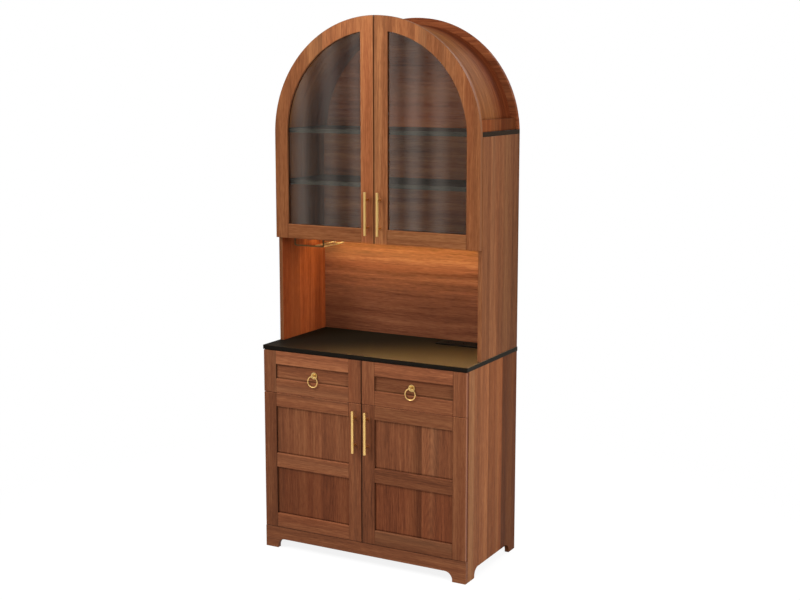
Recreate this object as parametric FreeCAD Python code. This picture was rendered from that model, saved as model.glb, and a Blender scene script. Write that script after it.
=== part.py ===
import FreeCAD
import Part
import math
import os

# Tall buffet cabinet: a lower cabinet with two drawers and two doors, and a hutch with an open niche
# and an arched glass cupboard. Millimetres, X to the right, Y to the back, Z up.
# The origin is on the floor, under the middle of the whole outline.

# Overall sizes
body_width = 796.0
depth = 400.0
counter_top_z = 736.0
hutch_setback = 90.0
hutch_door_bottom_z = 1108.0
spring_board_z = 1477.0
arch_centre_z = 1475.0
plinth_height = 77.0
drawer_seam_z = 568.5

# Boards
board = 15.0
counter_thickness = 15.0
counter_overhang = 2.0
lower_back_thickness = 5.0
hutch_back_thickness = 9.0
arch_back_thickness = 15.0
roof_thickness = 10.0
roof_inset = 24.0
cleat_inset = 10.0
cleat_height = 39.0
edge_ease = 0.7

# Fronts
door_thickness = 15.0
door_gap = 2.5
front_reveal = 1.0
front_seam = 2.0
frame_width = 50.0
rail_height = 50.0
top_rail_height = 47.0
panel_recess = 7.0

# Bracket feet
foot_length = 50.0
foot_notch_height = 34.0
foot_notch_radius = 28.0

# Shelves
lower_shelf_top_z = 330.0
middle_shelf_top_z = 1311.0
lower_shelf_setback = 25.0
middle_shelf_setback = 18.0
shelf_clearance = 0.5
peg_width = 12.0
peg_reach = 9.0
peg_height = 5.0
peg_radius = 2.5
peg_depth = 9.0
peg_inset = 45.0

# Glass
glass_thickness = 4.0
glass_lap = 8.0
glass_clearance = 0.3
glass_bead_thickness = 3.0

# Hinges: the pin stands in a pocket in the back of the stile
hinge_edge = 5.5
hinge_depth = 7.0
hinge_pin_radius = 1.75
hinge_pin_hold = 10.0
pin_seat_clearance = 0.02
pin_running_clearance = 0.05
knuckle_radius = 3.5
hinge_arm_height = 28.0
hinge_arm_thickness = 2.0
hinge_neck_thickness = 2.5
hinge_plate_length = 45.0
hinge_pocket_clearance = 0.8
hinge_pocket_end_clearance = 1.0
hinge_swing_clearance = 1.5
lower_hinge_inset = 80.0
upper_hinge_bottom_inset = 60.0
upper_hinge_top_drop = 45.0

# Bar handles
handle_length = 148.0
handle_bar_radius = 5.0
handle_stand = 20.0
handle_inset = 23.0
handle_post_radius = 4.0
handle_post_spacing = 96.0
handle_end_chamfer = 0.8
upper_handle_rise = 28.0
lower_handle_drop = 22.0
screw_radius = 2.0
screw_clearance = 0.1
screw_engagement = 9.0
screw_head_radius = 4.0
screw_head_height = 2.0

# Ring pulls: a dished plate on the drawer's panel, and a post with an eye for the ring
pull_rise = 25.0
pull_plate_radius = 12.0
pull_plate_thickness = 3.0
pull_dish_radius = 9.6
pull_dish_depth = 1.2
pull_post_radius = 4.5
pull_post_end = 2.0
pull_post_chamfer = 0.8
pull_eye_radius = 2.9
pull_screw_engagement = 6.0
ring_stand = 6.0
ring_radius = 19.0
ring_wire_radius = 2.0

# Drawer boxes and runners
drawer_side = 12.0
drawer_bottom = 5.0
drawer_bottom_rise = 8.0
drawer_box_height = 100.0
drawer_back_clearance = 30.0
drawer_lift = 8.0
runner_space = 13.0
runner_height = 36.0
runner_back_setback = 5.5
runner_web = 1.5
runner_flange = 2.0
runner_flange_reach = 11.0
runner_side_clearance = 0.5
runner_slide_clearance = 0.4
runner_front_setback = 2.0

# Small fittings
dowel_radius = 4.0
dowel_length = 32.0
dowel_in_side = 11.0
dowel_rise = 20.0
dowel_inset = 60.0
catch_width = 30.0
catch_height = 12.0
catch_depth = 17.0
catch_inset = 10.0
catch_air = 0.5

# Light strip under the hutch floor
light_end_gap = 33.0
light_width = 16.0
light_height = 8.0
light_wall = 2.0
light_diffuser = 2.0
light_back_gap = 62.0

# Stemware rack under the hutch floor
rack_wire_radius = 2.5
rack_drop = 30.0
rack_side_gap = 43.0
rack_width = 118.0
rack_channel = 34.0
rack_front_setback = 15.0
rack_length = 148.0
rack_bend = 6.0
rack_pad_radius = 7.0
rack_pad_thickness = 2.0

# Power strip let into the counter, near the back
strip_side_gap = 55.0
strip_back_gap = 24.0
strip_length = 200.0
strip_depth = 66.0
strip_rise = 5.0
strip_lip = 6.0
strip_drop = 22.0
strip_rim = 4.0
strip_plate = 2.0
socket_spacing = 58.0
socket_first = 40.0
socket_blade_gap = 12.7
socket_blade_width = 2.4
socket_blade_length = 8.0
socket_earth_radius = 2.6
socket_earth_drop = 11.0
usb_width = 13.0
usb_height = 6.0
usb_spacing = 22.0
usb_first = 145.0
grommet_radius = 6.0
grommet_bore = 3.6
grommet_offset = 42.0
grommet_drop = 13.0

# Planes worked out from the sizes above
half_width = body_width / 2
side_inner_x = half_width - board
handle_projection = handle_stand + handle_bar_radius
front_y = -(depth - handle_projection) / 2
back_y = front_y + depth
door_back_y = front_y + door_thickness
carcass_y = door_back_y + door_gap
hutch_front_y = front_y + hutch_setback
hutch_door_back_y = hutch_front_y + door_thickness
hutch_carcass_y = hutch_door_back_y + door_gap
lower_back_y = back_y - lower_back_thickness
hutch_back_y = back_y - hutch_back_thickness
arch_back_y = back_y - arch_back_thickness
counter_z = counter_top_z - counter_thickness
bottom_board_top_z = plinth_height + board
deck_z = drawer_seam_z - board / 2
deck_top_z = deck_z + board
door_bottom_z = plinth_height + front_seam
door_top_z = drawer_seam_z - front_seam / 2
drawer_bottom_z = drawer_seam_z + front_seam / 2
drawer_top_z = counter_z - front_seam
hutch_floor_z = hutch_door_bottom_z + front_seam
hutch_floor_top_z = hutch_floor_z + board
spring_top_z = spring_board_z + board
meeting_x = front_seam / 2
front_outer_x = half_width - front_reveal
roof_radius = half_width - roof_inset
divider_half = board / 2
box_outer_x = side_inner_x - runner_space
box_inner_x = divider_half + runner_space
drawer_box_z = deck_top_z + drawer_lift
drawer_box_back_y = lower_back_y - drawer_back_clearance
pull_x = side_inner_x / 2
pull_z = drawer_bottom_z + rail_height + pull_rise
strip_right_x = side_inner_x - strip_side_gap
strip_left_x = strip_right_x - strip_length
strip_back_y = hutch_back_y - strip_back_gap
strip_front_y = strip_back_y - strip_depth
strip_top_z = counter_top_z + strip_rise
rack_left_x = rack_side_gap - side_inner_x
rack_right_x = rack_left_x + rack_width
hinge_x = front_outer_x - hinge_edge
lower_hinges = (door_bottom_z + lower_hinge_inset, door_top_z - lower_hinge_inset)
upper_hinges = (hutch_door_bottom_z + upper_hinge_bottom_inset, arch_centre_z - upper_hinge_top_drop)

V = FreeCAD.Vector
nodes = {}


# Helpers

def box(x0, x1, y0, y1, z0, z1):
    return Part.makeBox(x1 - x0, y1 - y0, z1 - z0, V(x0, y0, z0))


def eased_box(x0, x1, y0, y1, z0, z1):
    """A board with its sharp edges taken off."""
    solid = box(x0, x1, y0, y1, z0, z1)
    return solid.makeFillet(edge_ease, solid.Edges)


def rod(radius, start, end):
    axis = end.sub(start)
    return Part.makeCylinder(radius, axis.Length, start, axis)


def mirrored(shape):
    return shape.mirror(V(0, 0, 0), V(1, 0, 0))


def both_sides(shape):
    return [shape, mirrored(shape)]


def group(solids):
    return Part.makeCompound(solids)


def slab(edges, y0, y1):
    """A closed outline in the plane y = y0, thickened to y1."""
    return Part.Face(Part.Wire(edges)).extrude(V(0, y1 - y0, 0))


def line(start, end):
    return Part.LineSegment(start, end).toShape()


def arc(start, middle, end):
    return Part.Arc(start, middle, end).toShape()


def half_arch(inner_x, radius, bottom_z, y0, y1):
    """The right half of an arched opening, from inner_x out to the arc's radius."""
    end_angle = math.acos(inner_x / radius)
    low_inner = V(inner_x, y0, bottom_z)
    low_outer = V(radius, y0, bottom_z)
    spring = V(radius, y0, arch_centre_z)
    middle = V(radius * math.cos(end_angle / 2), y0, arch_centre_z + radius * math.sin(end_angle / 2))
    top_inner = V(inner_x, y0, arch_centre_z + radius * math.sin(end_angle))
    edges = [
        line(low_inner, low_outer),
        line(low_outer, spring),
        arc(spring, middle, top_inner),
        line(top_inner, low_inner),
    ]
    return slab(edges, y0, y1)


def ease_front(solid, y):
    """Take the sharp edge off every edge that lies in the front plane."""
    tolerance = edge_ease / 10
    chosen = [edge for edge in solid.Edges if all(abs(point.Y - y) < tolerance for point in edge.Vertexes)]
    return solid.makeFillet(edge_ease, chosen)


def arch_cylinder(radius, y0, y1):
    return Part.makeCylinder(radius, y1 - y0, V(0, y0, arch_centre_z), V(0, 1, 0))


def wire_run(radius, points, bend):
    """A round wire along straight runs with bent corners."""
    edges = []
    start = points[0]
    for corner, after in zip(points[1:-1], points[2:]):
        toward = corner.sub(start).normalize()
        away = V(after).sub(corner).normalize()
        turn = toward.getAngle(away)
        tangent = bend * math.tan(turn / 2)
        arc_start = V(corner).sub(V(toward).multiply(tangent))
        arc_end = V(corner).add(V(away).multiply(tangent))
        inward = V(away).sub(toward).normalize()
        arc_middle = V(corner).add(V(inward).multiply(bend / math.cos(turn / 2) - bend))
        edges.append(line(start, arc_start))
        edges.append(arc(arc_start, arc_middle, arc_end))
        start = arc_end
    edges.append(line(start, points[-1]))
    path = Part.Wire(edges)
    direction = points[1].sub(points[0])
    profile = Part.Wire(Part.makeCircle(radius, points[0], direction))
    return path.makePipeShell([profile], True, True)


def foot_notch(low, high, extrude, place):
    """The gap between two bracket feet: straight at the top, with rounded corners."""
    shoulder = foot_notch_height - foot_notch_radius
    bow = foot_notch_radius * (1 - math.sqrt(0.5))
    below = -foot_notch_height
    points = [
        place(low, below),
        place(low, shoulder),
        place(low + bow, foot_notch_height - bow),
        place(low + foot_notch_radius, foot_notch_height),
        place(high - foot_notch_radius, foot_notch_height),
        place(high - bow, foot_notch_height - bow),
        place(high, shoulder),
        place(high, below),
    ]
    edges = [
        line(points[0], points[1]),
        arc(points[1], points[2], points[3]),
        line(points[3], points[4]),
        arc(points[4], points[5], points[6]),
        line(points[6], points[7]),
        line(points[7], points[0]),
    ]
    return Part.Face(Part.Wire(edges)).extrude(extrude)


# Dowels, which the boards below are drilled for

def board_dowels(z, front, back):
    """Dowels that join the ends of a level board to the right side panel."""
    inner = side_inner_x + dowel_in_side - dowel_length
    outer = side_inner_x + dowel_in_side
    return [rod(dowel_radius, V(inner, y, z), V(outer, y, z)) for y in (front + dowel_inset, back - dowel_inset)]


def post_dowels(low_z, high_z):
    """Upright dowels in the right side panels."""
    x = half_width - board / 2
    ends = (hutch_carcass_y + dowel_inset, hutch_back_y - dowel_inset)
    return [rod(dowel_radius, V(x, y, low_z), V(x, y, high_z)) for y in ends]


right_dowels = []
right_dowels += board_dowels(plinth_height + board / 2, carcass_y, lower_back_y)
right_dowels += board_dowels(deck_z + board / 2, carcass_y, lower_back_y)
right_dowels += board_dowels(hutch_floor_z + board / 2, hutch_carcass_y, hutch_back_y)
right_dowels += post_dowels(counter_z - dowel_rise, counter_top_z + dowel_rise)
right_dowels += post_dowels(spring_board_z - dowel_rise, spring_board_z + dowel_in_side)
dowels = []
for dowel in right_dowels:
    dowels += both_sides(dowel)
dowel_holes = group(dowels)
nodes["carcass_dowels"] = dowel_holes


# Shelf pegs

def shelf_pegs(shelf_z, front, back):
    pegs = []
    for y in (front + peg_inset, back - peg_inset):
        seat_x = side_inner_x - peg_reach
        seat = box(seat_x, side_inner_x, y - peg_width / 2, y + peg_width / 2, shelf_z - peg_height, shelf_z)
        centre_z = shelf_z - peg_height / 2
        pin = rod(peg_radius, V(side_inner_x, y, centre_z), V(side_inner_x + peg_depth, y, centre_z))
        pegs += both_sides(seat.fuse(pin))
    return pegs


lower_shelf_z = lower_shelf_top_z - board
middle_shelf_z = middle_shelf_top_z - board
lower_shelf_y = carcass_y + lower_shelf_setback
middle_shelf_y = hutch_carcass_y + middle_shelf_setback
pegs = shelf_pegs(lower_shelf_z, lower_shelf_y, lower_back_y)
pegs += shelf_pegs(middle_shelf_z, middle_shelf_y, hutch_back_y)
peg_holes = group(pegs)
nodes["shelf_pegs"] = peg_holes


# Lower cabinet

def side_place(y, z):
    return V(side_inner_x, y, z)


def plinth_place(x, z):
    return V(x, front_y, z)


lower_side = eased_box(side_inner_x, half_width, carcass_y, back_y, 0, counter_z)
lower_side = lower_side.cut(foot_notch(carcass_y + foot_length, back_y - foot_length, V(board, 0, 0), side_place))
lower_side = lower_side.cut(dowel_holes).cut(peg_holes)
nodes["lower_side_right"] = lower_side
nodes["lower_side_left"] = mirrored(lower_side)

plinth = eased_box(-half_width, half_width, front_y, carcass_y, 0, plinth_height)
plinth_notch = half_width - foot_length
plinth_depth = V(0, carcass_y - front_y, 0)
nodes["plinth_board"] = plinth.cut(foot_notch(-plinth_notch, plinth_notch, plinth_depth, plinth_place))

bottom_board = box(-side_inner_x, side_inner_x, carcass_y, lower_back_y, plinth_height, bottom_board_top_z)
nodes["lower_bottom_board"] = bottom_board.cut(dowel_holes)

deck = box(-side_inner_x, side_inner_x, carcass_y, lower_back_y, deck_z, deck_top_z)
nodes["drawer_deck"] = deck.cut(dowel_holes)
nodes["drawer_divider"] = box(-divider_half, divider_half, carcass_y, lower_back_y, deck_top_z, counter_z)

shelf_half = side_inner_x - shelf_clearance
nodes["lower_shelf"] = eased_box(
    -shelf_half, shelf_half, lower_shelf_y, lower_back_y - shelf_clearance, lower_shelf_z, lower_shelf_top_z)

grommet_x = strip_left_x + grommet_offset
grommet_z = counter_z - grommet_drop
grommet_start = V(grommet_x, lower_back_y, grommet_z)
grommet_end = V(grommet_x, back_y, grommet_z)
grommet_body = rod(grommet_radius, grommet_start, grommet_end)
nodes["cord_grommet"] = grommet_body.cut(rod(grommet_bore, grommet_start, grommet_end))
lower_back = box(-side_inner_x, side_inner_x, lower_back_y, back_y, plinth_height, counter_z)
nodes["lower_back_panel"] = lower_back.cut(grommet_body)

counter_half = half_width + counter_overhang
counter = eased_box(-counter_half, counter_half, front_y, back_y, counter_z, counter_top_z)
strip_well = box(strip_left_x + strip_lip, strip_right_x - strip_lip, strip_front_y + strip_lip,
                 strip_back_y - strip_lip, counter_z - strip_drop, counter_top_z)
nodes["countertop"] = counter.cut(dowel_holes).cut(strip_well)


# Hutch

hutch_side = eased_box(side_inner_x, half_width, hutch_carcass_y, back_y, counter_top_z, spring_board_z)
hutch_side = hutch_side.cut(dowel_holes).cut(peg_holes)
nodes["hutch_side_right"] = hutch_side
nodes["hutch_side_left"] = mirrored(hutch_side)

nodes["hutch_back_panel"] = box(-side_inner_x, side_inner_x, hutch_back_y, back_y, counter_top_z, spring_board_z)

hutch_floor = eased_box(
    -side_inner_x, side_inner_x, hutch_carcass_y, hutch_back_y, hutch_floor_z, hutch_floor_top_z)
nodes["hutch_floor"] = hutch_floor.cut(dowel_holes)

nodes["middle_shelf"] = eased_box(
    -shelf_half, shelf_half, middle_shelf_y, hutch_back_y - shelf_clearance, middle_shelf_z, middle_shelf_top_z)

spring_board = eased_box(-half_width, half_width, hutch_carcass_y, back_y, spring_board_z, spring_top_z)
nodes["spring_board"] = spring_board.cut(dowel_holes)

above_spring = box(-half_width, half_width, front_y, back_y, spring_top_z, arch_centre_z + half_width)
roof_outside = arch_cylinder(roof_radius, hutch_carcass_y, arch_back_y)
roof_inside = arch_cylinder(roof_radius - roof_thickness, hutch_carcass_y, arch_back_y)
nodes["bent_roof"] = roof_outside.cut(roof_inside).common(above_spring)
nodes["arch_back_panel"] = arch_cylinder(half_width, arch_back_y, back_y).common(above_spring)

cleat_inner_x = math.sqrt(roof_radius ** 2 - (spring_top_z + cleat_height - arch_centre_z) ** 2)
cleat = box(cleat_inner_x, half_width - cleat_inset, hutch_carcass_y, arch_back_y,
            spring_top_z, spring_top_z + cleat_height)
nodes["roof_cleats"] = group(both_sides(cleat.cut(roof_outside)))


# Hinges

def hinge_arm(z, door_back, carcass_front):
    """The cabinet's half of a hinge on the right side: knuckle, neck and plate."""
    axis_y = door_back - hinge_depth
    low = z - hinge_arm_height / 2
    high = z + hinge_arm_height / 2
    leg_x = side_inner_x - hinge_arm_thickness
    neck_back = axis_y + hinge_neck_thickness / 2
    neck_front = axis_y - hinge_neck_thickness / 2
    knuckle = rod(knuckle_radius, V(hinge_x, axis_y, low), V(hinge_x, axis_y, high))
    neck = box(leg_x, hinge_x, neck_front, neck_back, low, high)
    plate = box(leg_x, side_inner_x, neck_front, carcass_front + hinge_plate_length, low, high)
    bore_radius = hinge_pin_radius + pin_running_clearance
    bore = rod(bore_radius, V(hinge_x, axis_y, low), V(hinge_x, axis_y, high))
    return knuckle.fuse(neck).fuse(plate).removeSplitter().cut(bore)


def hinge_pocket(z, door_back):
    """Room for a hinge arm in the back of the right-hand stile, with the holes that hold the pin."""
    axis_y = door_back - hinge_depth
    pocket_front = axis_y - knuckle_radius - hinge_pocket_clearance
    inner_x = side_inner_x - hinge_arm_thickness - hinge_swing_clearance
    outer_x = hinge_x + knuckle_radius + hinge_pocket_clearance / 2
    half = hinge_arm_height / 2 + hinge_pocket_end_clearance
    pocket = box(inner_x, outer_x, pocket_front, door_back, z - half, z + half)
    return pocket.fuse(hinge_pin(z, door_back, pin_seat_clearance))


def hinge_pin(z, door_back, clearance):
    axis_y = door_back - hinge_depth
    half = hinge_arm_height / 2 + hinge_pocket_end_clearance + hinge_pin_hold
    return rod(hinge_pin_radius + clearance, V(hinge_x, axis_y, z - half), V(hinge_x, axis_y, z + half))


arms = []
for z in lower_hinges:
    arms += both_sides(hinge_arm(z, door_back_y, carcass_y))
for z in upper_hinges:
    arms += both_sides(hinge_arm(z, hutch_door_back_y, hutch_carcass_y))
nodes["hinge_arms"] = group(arms)


# Bar handles, with their screws

def handle_parts(front, back, low_z):
    """A bar on two posts, its two screws, and the holes that the screws need in the stile."""
    x = meeting_x + handle_inset
    bar_y = front - handle_stand
    bar = rod(handle_bar_radius, V(x, bar_y, low_z), V(x, bar_y, low_z + handle_length))
    bar = bar.makeChamfer(handle_end_chamfer, [bar.Edges[0], bar.Edges[2]])
    middle = low_z + handle_length / 2
    screws = []
    holes = []
    for z in (middle - handle_post_spacing / 2, middle + handle_post_spacing / 2):
        bar = bar.fuse(rod(handle_post_radius, V(x, bar_y, z), V(x, front, z)))
        tip = V(x, front - screw_engagement, z)
        shank = rod(screw_radius, tip, V(x, back, z))
        head = rod(screw_head_radius, V(x, back, z), V(x, back + screw_head_height, z))
        screws.append(shank.fuse(head))
        holes.append(rod(screw_radius + screw_clearance, tip, V(x, back, z)))
    drilled = group(holes)
    return group([bar.cut(drilled)] + screws), drilled


# Lower doors

def framed_front(low_z, high_z, middle_rails):
    """Stiles, rails and recessed panels of a right-hand front, with one more panel than middle rails."""
    inner_x = meeting_x + frame_width
    outer_x = front_outer_x - frame_width
    stiles = [
        eased_box(meeting_x, inner_x, front_y, door_back_y, low_z, high_z),
        eased_box(outer_x, front_outer_x, front_y, door_back_y, low_z, high_z),
    ]
    opening = high_z - low_z - rail_height - top_rail_height
    panel_height = (opening - middle_rails * rail_height) / (middle_rails + 1)
    rails = [eased_box(inner_x, outer_x, front_y, door_back_y, high_z - top_rail_height, high_z)]
    panels = []
    rail_z = low_z
    for _ in range(middle_rails + 1):
        panel_z = rail_z + rail_height
        rails.append(eased_box(inner_x, outer_x, front_y, door_back_y, rail_z, panel_z))
        panels.append(box(inner_x, outer_x, front_y + panel_recess, door_back_y, panel_z, panel_z + panel_height))
        rail_z = panel_z + panel_height
    return stiles, rails, panels


stiles, rails, panels = framed_front(door_bottom_z, door_top_z, 1)
lower_handle, handle_holes = handle_parts(front_y, door_back_y, door_top_z - lower_handle_drop - handle_length)
pins = []
for z in lower_hinges:
    stiles[1] = stiles[1].cut(hinge_pocket(z, door_back_y))
    pins.append(hinge_pin(z, door_back_y, 0))
stiles[0] = stiles[0].cut(handle_holes)
for side, turn in (("right", group), ("left", lambda solids: mirrored(group(solids)))):
    nodes["lower_" + side + "_door_frame"] = turn(stiles + rails)
    nodes["lower_" + side + "_door_panels"] = turn(panels)
    nodes["lower_" + side + "_door_handle"] = turn([lower_handle])
    nodes["lower_" + side + "_door_hinge_pins"] = turn(pins)


# Arched glass doors

frame_inner_x = meeting_x + frame_width
frame_inner_radius = front_outer_x - frame_width
glass_z = hutch_door_bottom_z + rail_height
whole_door = half_arch(meeting_x, front_outer_x, hutch_door_bottom_z, hutch_front_y, hutch_door_back_y)
arch_top_z = arch_centre_z + half_width
meeting_zone = box(meeting_x, frame_inner_x, hutch_front_y, hutch_door_back_y, hutch_door_bottom_z, arch_top_z)
opening_zone = half_arch(frame_inner_x, frame_inner_radius, hutch_door_bottom_z, hutch_front_y, hutch_door_back_y)
meeting_stile = ease_front(whole_door.common(meeting_zone), hutch_front_y)
arch_stile = ease_front(whole_door.cut(meeting_zone).cut(opening_zone), hutch_front_y)
bottom_rail = eased_box(
    frame_inner_x, frame_inner_radius, hutch_front_y, hutch_door_back_y, hutch_door_bottom_z, glass_z)

glass_back_y = hutch_door_back_y - glass_bead_thickness
glass_front_y = glass_back_y - glass_thickness
rebate = half_arch(frame_inner_x - glass_lap, frame_inner_radius + glass_lap, glass_z - glass_lap,
                   glass_front_y, hutch_door_back_y)
pane_lap = glass_lap - glass_clearance


def pane(lap, y0, y1):
    return half_arch(frame_inner_x - lap, frame_inner_radius + lap, glass_z - lap, y0, y1)


glass = pane(pane_lap, glass_front_y, glass_back_y)
bead = pane(pane_lap, glass_back_y, hutch_door_back_y).cut(pane(0, glass_back_y, hutch_door_back_y))
upper_handle, handle_holes = handle_parts(
    hutch_front_y, hutch_door_back_y, hutch_door_bottom_z + upper_handle_rise)
upper_pins = []
arch_stile = arch_stile.cut(rebate)
for z in upper_hinges:
    arch_stile = arch_stile.cut(hinge_pocket(z, hutch_door_back_y))
    upper_pins.append(hinge_pin(z, hutch_door_back_y, 0))
meeting_stile = meeting_stile.cut(rebate).cut(handle_holes)
bottom_rail = bottom_rail.cut(rebate)
for side, turn in (("right", group), ("left", lambda solids: mirrored(group(solids)))):
    nodes["upper_" + side + "_door_frame"] = turn([arch_stile, meeting_stile, bottom_rail])
    nodes["upper_" + side + "_door_glass"] = turn([glass])
    nodes["upper_" + side + "_door_glass_bead"] = turn([bead])
    nodes["upper_" + side + "_door_handle"] = turn([upper_handle])
    nodes["upper_" + side + "_door_hinge_pins"] = turn(upper_pins)


# Magnet catches behind the meeting edges of the doors

def catch(top_z, carcass_front, door_back):
    front = door_back + catch_air
    return box(catch_inset, catch_inset + catch_width, front, carcass_front + catch_depth, top_z - catch_height, top_z)


catches = both_sides(catch(deck_z, carcass_y, door_back_y))
catches += both_sides(catch(spring_board_z, hutch_carcass_y, hutch_door_back_y))
nodes["magnet_catches"] = group(catches)


# Drawers

def drawer_box():
    back = drawer_box_back_y
    high = drawer_box_z + drawer_box_height
    inner = box_inner_x + drawer_side
    outer = box_outer_x - drawer_side
    floor_z = drawer_box_z + drawer_bottom_rise
    return [
        box(box_inner_x, inner, door_back_y, back, drawer_box_z, high),
        box(outer, box_outer_x, door_back_y, back, drawer_box_z, high),
        box(inner, outer, door_back_y, door_back_y + drawer_side, drawer_box_z, high),
        box(inner, outer, back - drawer_side, back, drawer_box_z, high),
        box(inner, outer, door_back_y + drawer_side, back - drawer_side, floor_z, floor_z + drawer_bottom),
    ]


runner_z = drawer_box_z + drawer_box_height / 2
runner_y = carcass_y + runner_front_setback
runner_end_y = drawer_box_back_y - runner_back_setback


def runner_rail(wall_x, toward):
    """A channel on a cabinet wall, open towards the drawer. toward is +1 or -1 along X."""
    low = runner_z - runner_height / 2
    high = runner_z + runner_height / 2
    tip_x = wall_x + toward * runner_flange_reach
    web_x = wall_x + toward * runner_web
    outer = box(min(wall_x, tip_x), max(wall_x, tip_x), runner_y, runner_end_y, low, high)
    hollow = box(min(web_x, tip_x), max(web_x, tip_x), runner_y, runner_end_y,
                 low + runner_flange, high - runner_flange)
    return outer.cut(hollow)


def runner_slider(wall_x, toward):
    """The bar on the drawer box that slides in a runner rail."""
    half = runner_height / 2 - runner_flange - runner_slide_clearance
    near = wall_x + toward * (runner_web + runner_side_clearance)
    far = wall_x + toward * runner_space
    return box(min(near, far), max(near, far), runner_y, runner_end_y, runner_z - half, runner_z + half)


right_rails = [runner_rail(side_inner_x, -1), runner_rail(divider_half, 1)]
nodes["runner_rails"] = group(right_rails + [mirrored(rail) for rail in right_rails])
sliders = [runner_slider(side_inner_x, -1), runner_slider(divider_half, 1)]


def pull_parts():
    """A plate with a post, their screw, and the hole that the screw needs in the drawer's front."""
    panel_y = front_y + panel_recess
    plate_y = panel_y - pull_plate_thickness
    eye_y = front_y - ring_stand
    end_y = eye_y - pull_eye_radius - pull_post_end
    back = door_back_y + drawer_side
    plate = rod(pull_plate_radius, V(pull_x, panel_y, pull_z), V(pull_x, plate_y, pull_z))
    sphere_radius = (pull_dish_radius ** 2 + pull_dish_depth ** 2) / (2 * pull_dish_depth)
    dish = Part.makeSphere(sphere_radius, V(pull_x, plate_y + pull_dish_depth - sphere_radius, pull_z))
    post = rod(pull_post_radius, V(pull_x, panel_y, pull_z), V(pull_x, end_y, pull_z))
    post = post.makeChamfer(pull_post_chamfer, [post.Edges[0]])
    eye = rod(pull_eye_radius, V(pull_x - pull_plate_radius, eye_y, pull_z),
              V(pull_x + pull_plate_radius, eye_y, pull_z))
    tip = V(pull_x, panel_y - pull_screw_engagement, pull_z)
    shank = rod(screw_radius, tip, V(pull_x, back, pull_z))
    head = rod(screw_head_radius, V(pull_x, back, pull_z), V(pull_x, back + screw_head_height, pull_z))
    hole = rod(screw_radius + screw_clearance, tip, V(pull_x, back, pull_z))
    return group([plate.cut(dish).fuse(post).cut(eye).cut(hole), shank.fuse(head)]), hole


ring = Part.makeTorus(ring_radius, ring_wire_radius,
                      V(pull_x, front_y - ring_stand, pull_z - ring_radius), V(0, 1, 0))

stiles, rails, panels = framed_front(drawer_bottom_z, drawer_top_z, 0)
pull, pull_hole = pull_parts()
panels = [panel.cut(pull_hole) for panel in panels]
boards = [wall.cut(pull_hole) for wall in drawer_box()]
for side, turn in (("right", group), ("left", lambda solids: mirrored(group(solids)))):
    nodes[side + "_drawer_front_frame"] = turn(stiles + rails)
    nodes[side + "_drawer_front_panel"] = turn(panels)
    nodes[side + "_drawer_box"] = turn(boards)
    nodes[side + "_drawer_sliders"] = turn(sliders)
    nodes[side + "_drawer_pull_stem"] = turn([pull])
    nodes[side + "_drawer_ring"] = turn([ring])


# Light strip

light_back_y = hutch_back_y - light_back_gap
light_front_y = light_back_y - light_width
light_z = hutch_floor_z - light_height
light_half = side_inner_x - light_end_gap
slot_front_y = light_front_y + light_wall
slot_back_y = light_back_y - light_wall
slot_top_z = hutch_floor_z - light_wall
light_body = box(-light_half, light_half, light_front_y, light_back_y, light_z, hutch_floor_z)
light_slot = box(-light_half, light_half, slot_front_y, slot_back_y, light_z, slot_top_z)
nodes["light_channel"] = light_body.cut(light_slot)
nodes["light_diffuser"] = box(-light_half, light_half, slot_front_y, slot_back_y, light_z, light_z + light_diffuser)


# Stemware rack

rack_front_y = hutch_carcass_y + rack_front_setback
rack_back_y = rack_front_y + rack_length
rack_z = hutch_floor_z - rack_drop
rack_far_x = rack_right_x - rack_bend
rack_near_x = rack_far_x - rack_channel


def rack_rail(x):
    points = [V(x, rack_front_y, rack_z), V(x, rack_back_y, rack_z), V(x, rack_back_y, hutch_floor_z)]
    return wire_run(rack_wire_radius, points, rack_bend)


def rack_pad(x, y):
    return rod(rack_pad_radius, V(x, y, hutch_floor_z - rack_pad_thickness), V(x, y, hutch_floor_z))


rack = wire_run(rack_wire_radius, [
    V(rack_left_x, rack_front_y, hutch_floor_z),
    V(rack_left_x, rack_front_y, rack_z),
    V(rack_right_x, rack_front_y, rack_z),
    V(rack_right_x, rack_front_y, hutch_floor_z),
], rack_bend)
for x in (rack_near_x, rack_far_x):
    rack = rack.fuse(rack_rail(x))
    rack = rack.fuse(rack_pad(x, rack_back_y))
for x in (rack_left_x, rack_right_x):
    rack = rack.fuse(rack_pad(x, rack_front_y))
nodes["stemware_rack"] = rack


# Power strip

plate_z = strip_top_z - strip_plate
plate_box = box(strip_left_x + strip_rim, strip_right_x - strip_rim, strip_front_y + strip_rim,
                strip_back_y - strip_rim, plate_z, strip_top_z)
strip_lid = eased_box(strip_left_x, strip_right_x, strip_front_y, strip_back_y, counter_top_z, strip_top_z)
nodes["power_strip_body"] = strip_lid.fuse(strip_well).cut(plate_box)
plate = plate_box
strip_middle_y = strip_back_y - strip_depth / 2
for index in range(2):
    x = strip_left_x + socket_first + index * socket_spacing
    for side in (-1, 1):
        blade_x = x + side * socket_blade_gap / 2
        plate = plate.cut(box(blade_x - socket_blade_width / 2, blade_x + socket_blade_width / 2,
                              strip_middle_y, strip_middle_y + socket_blade_length, plate_z, strip_top_z))
    earth_y = strip_middle_y + socket_blade_length / 2 - socket_earth_drop
    plate = plate.cut(rod(socket_earth_radius, V(x, earth_y, plate_z), V(x, earth_y, strip_top_z)))
    port_x = strip_left_x + usb_first + index * usb_spacing
    plate = plate.cut(box(port_x - usb_width / 2, port_x + usb_width / 2, strip_middle_y - usb_height / 2,
                          strip_middle_y + usb_height / 2, plate_z, strip_top_z))
nodes["power_strip_sockets"] = plate


# One file for each named piece

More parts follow.
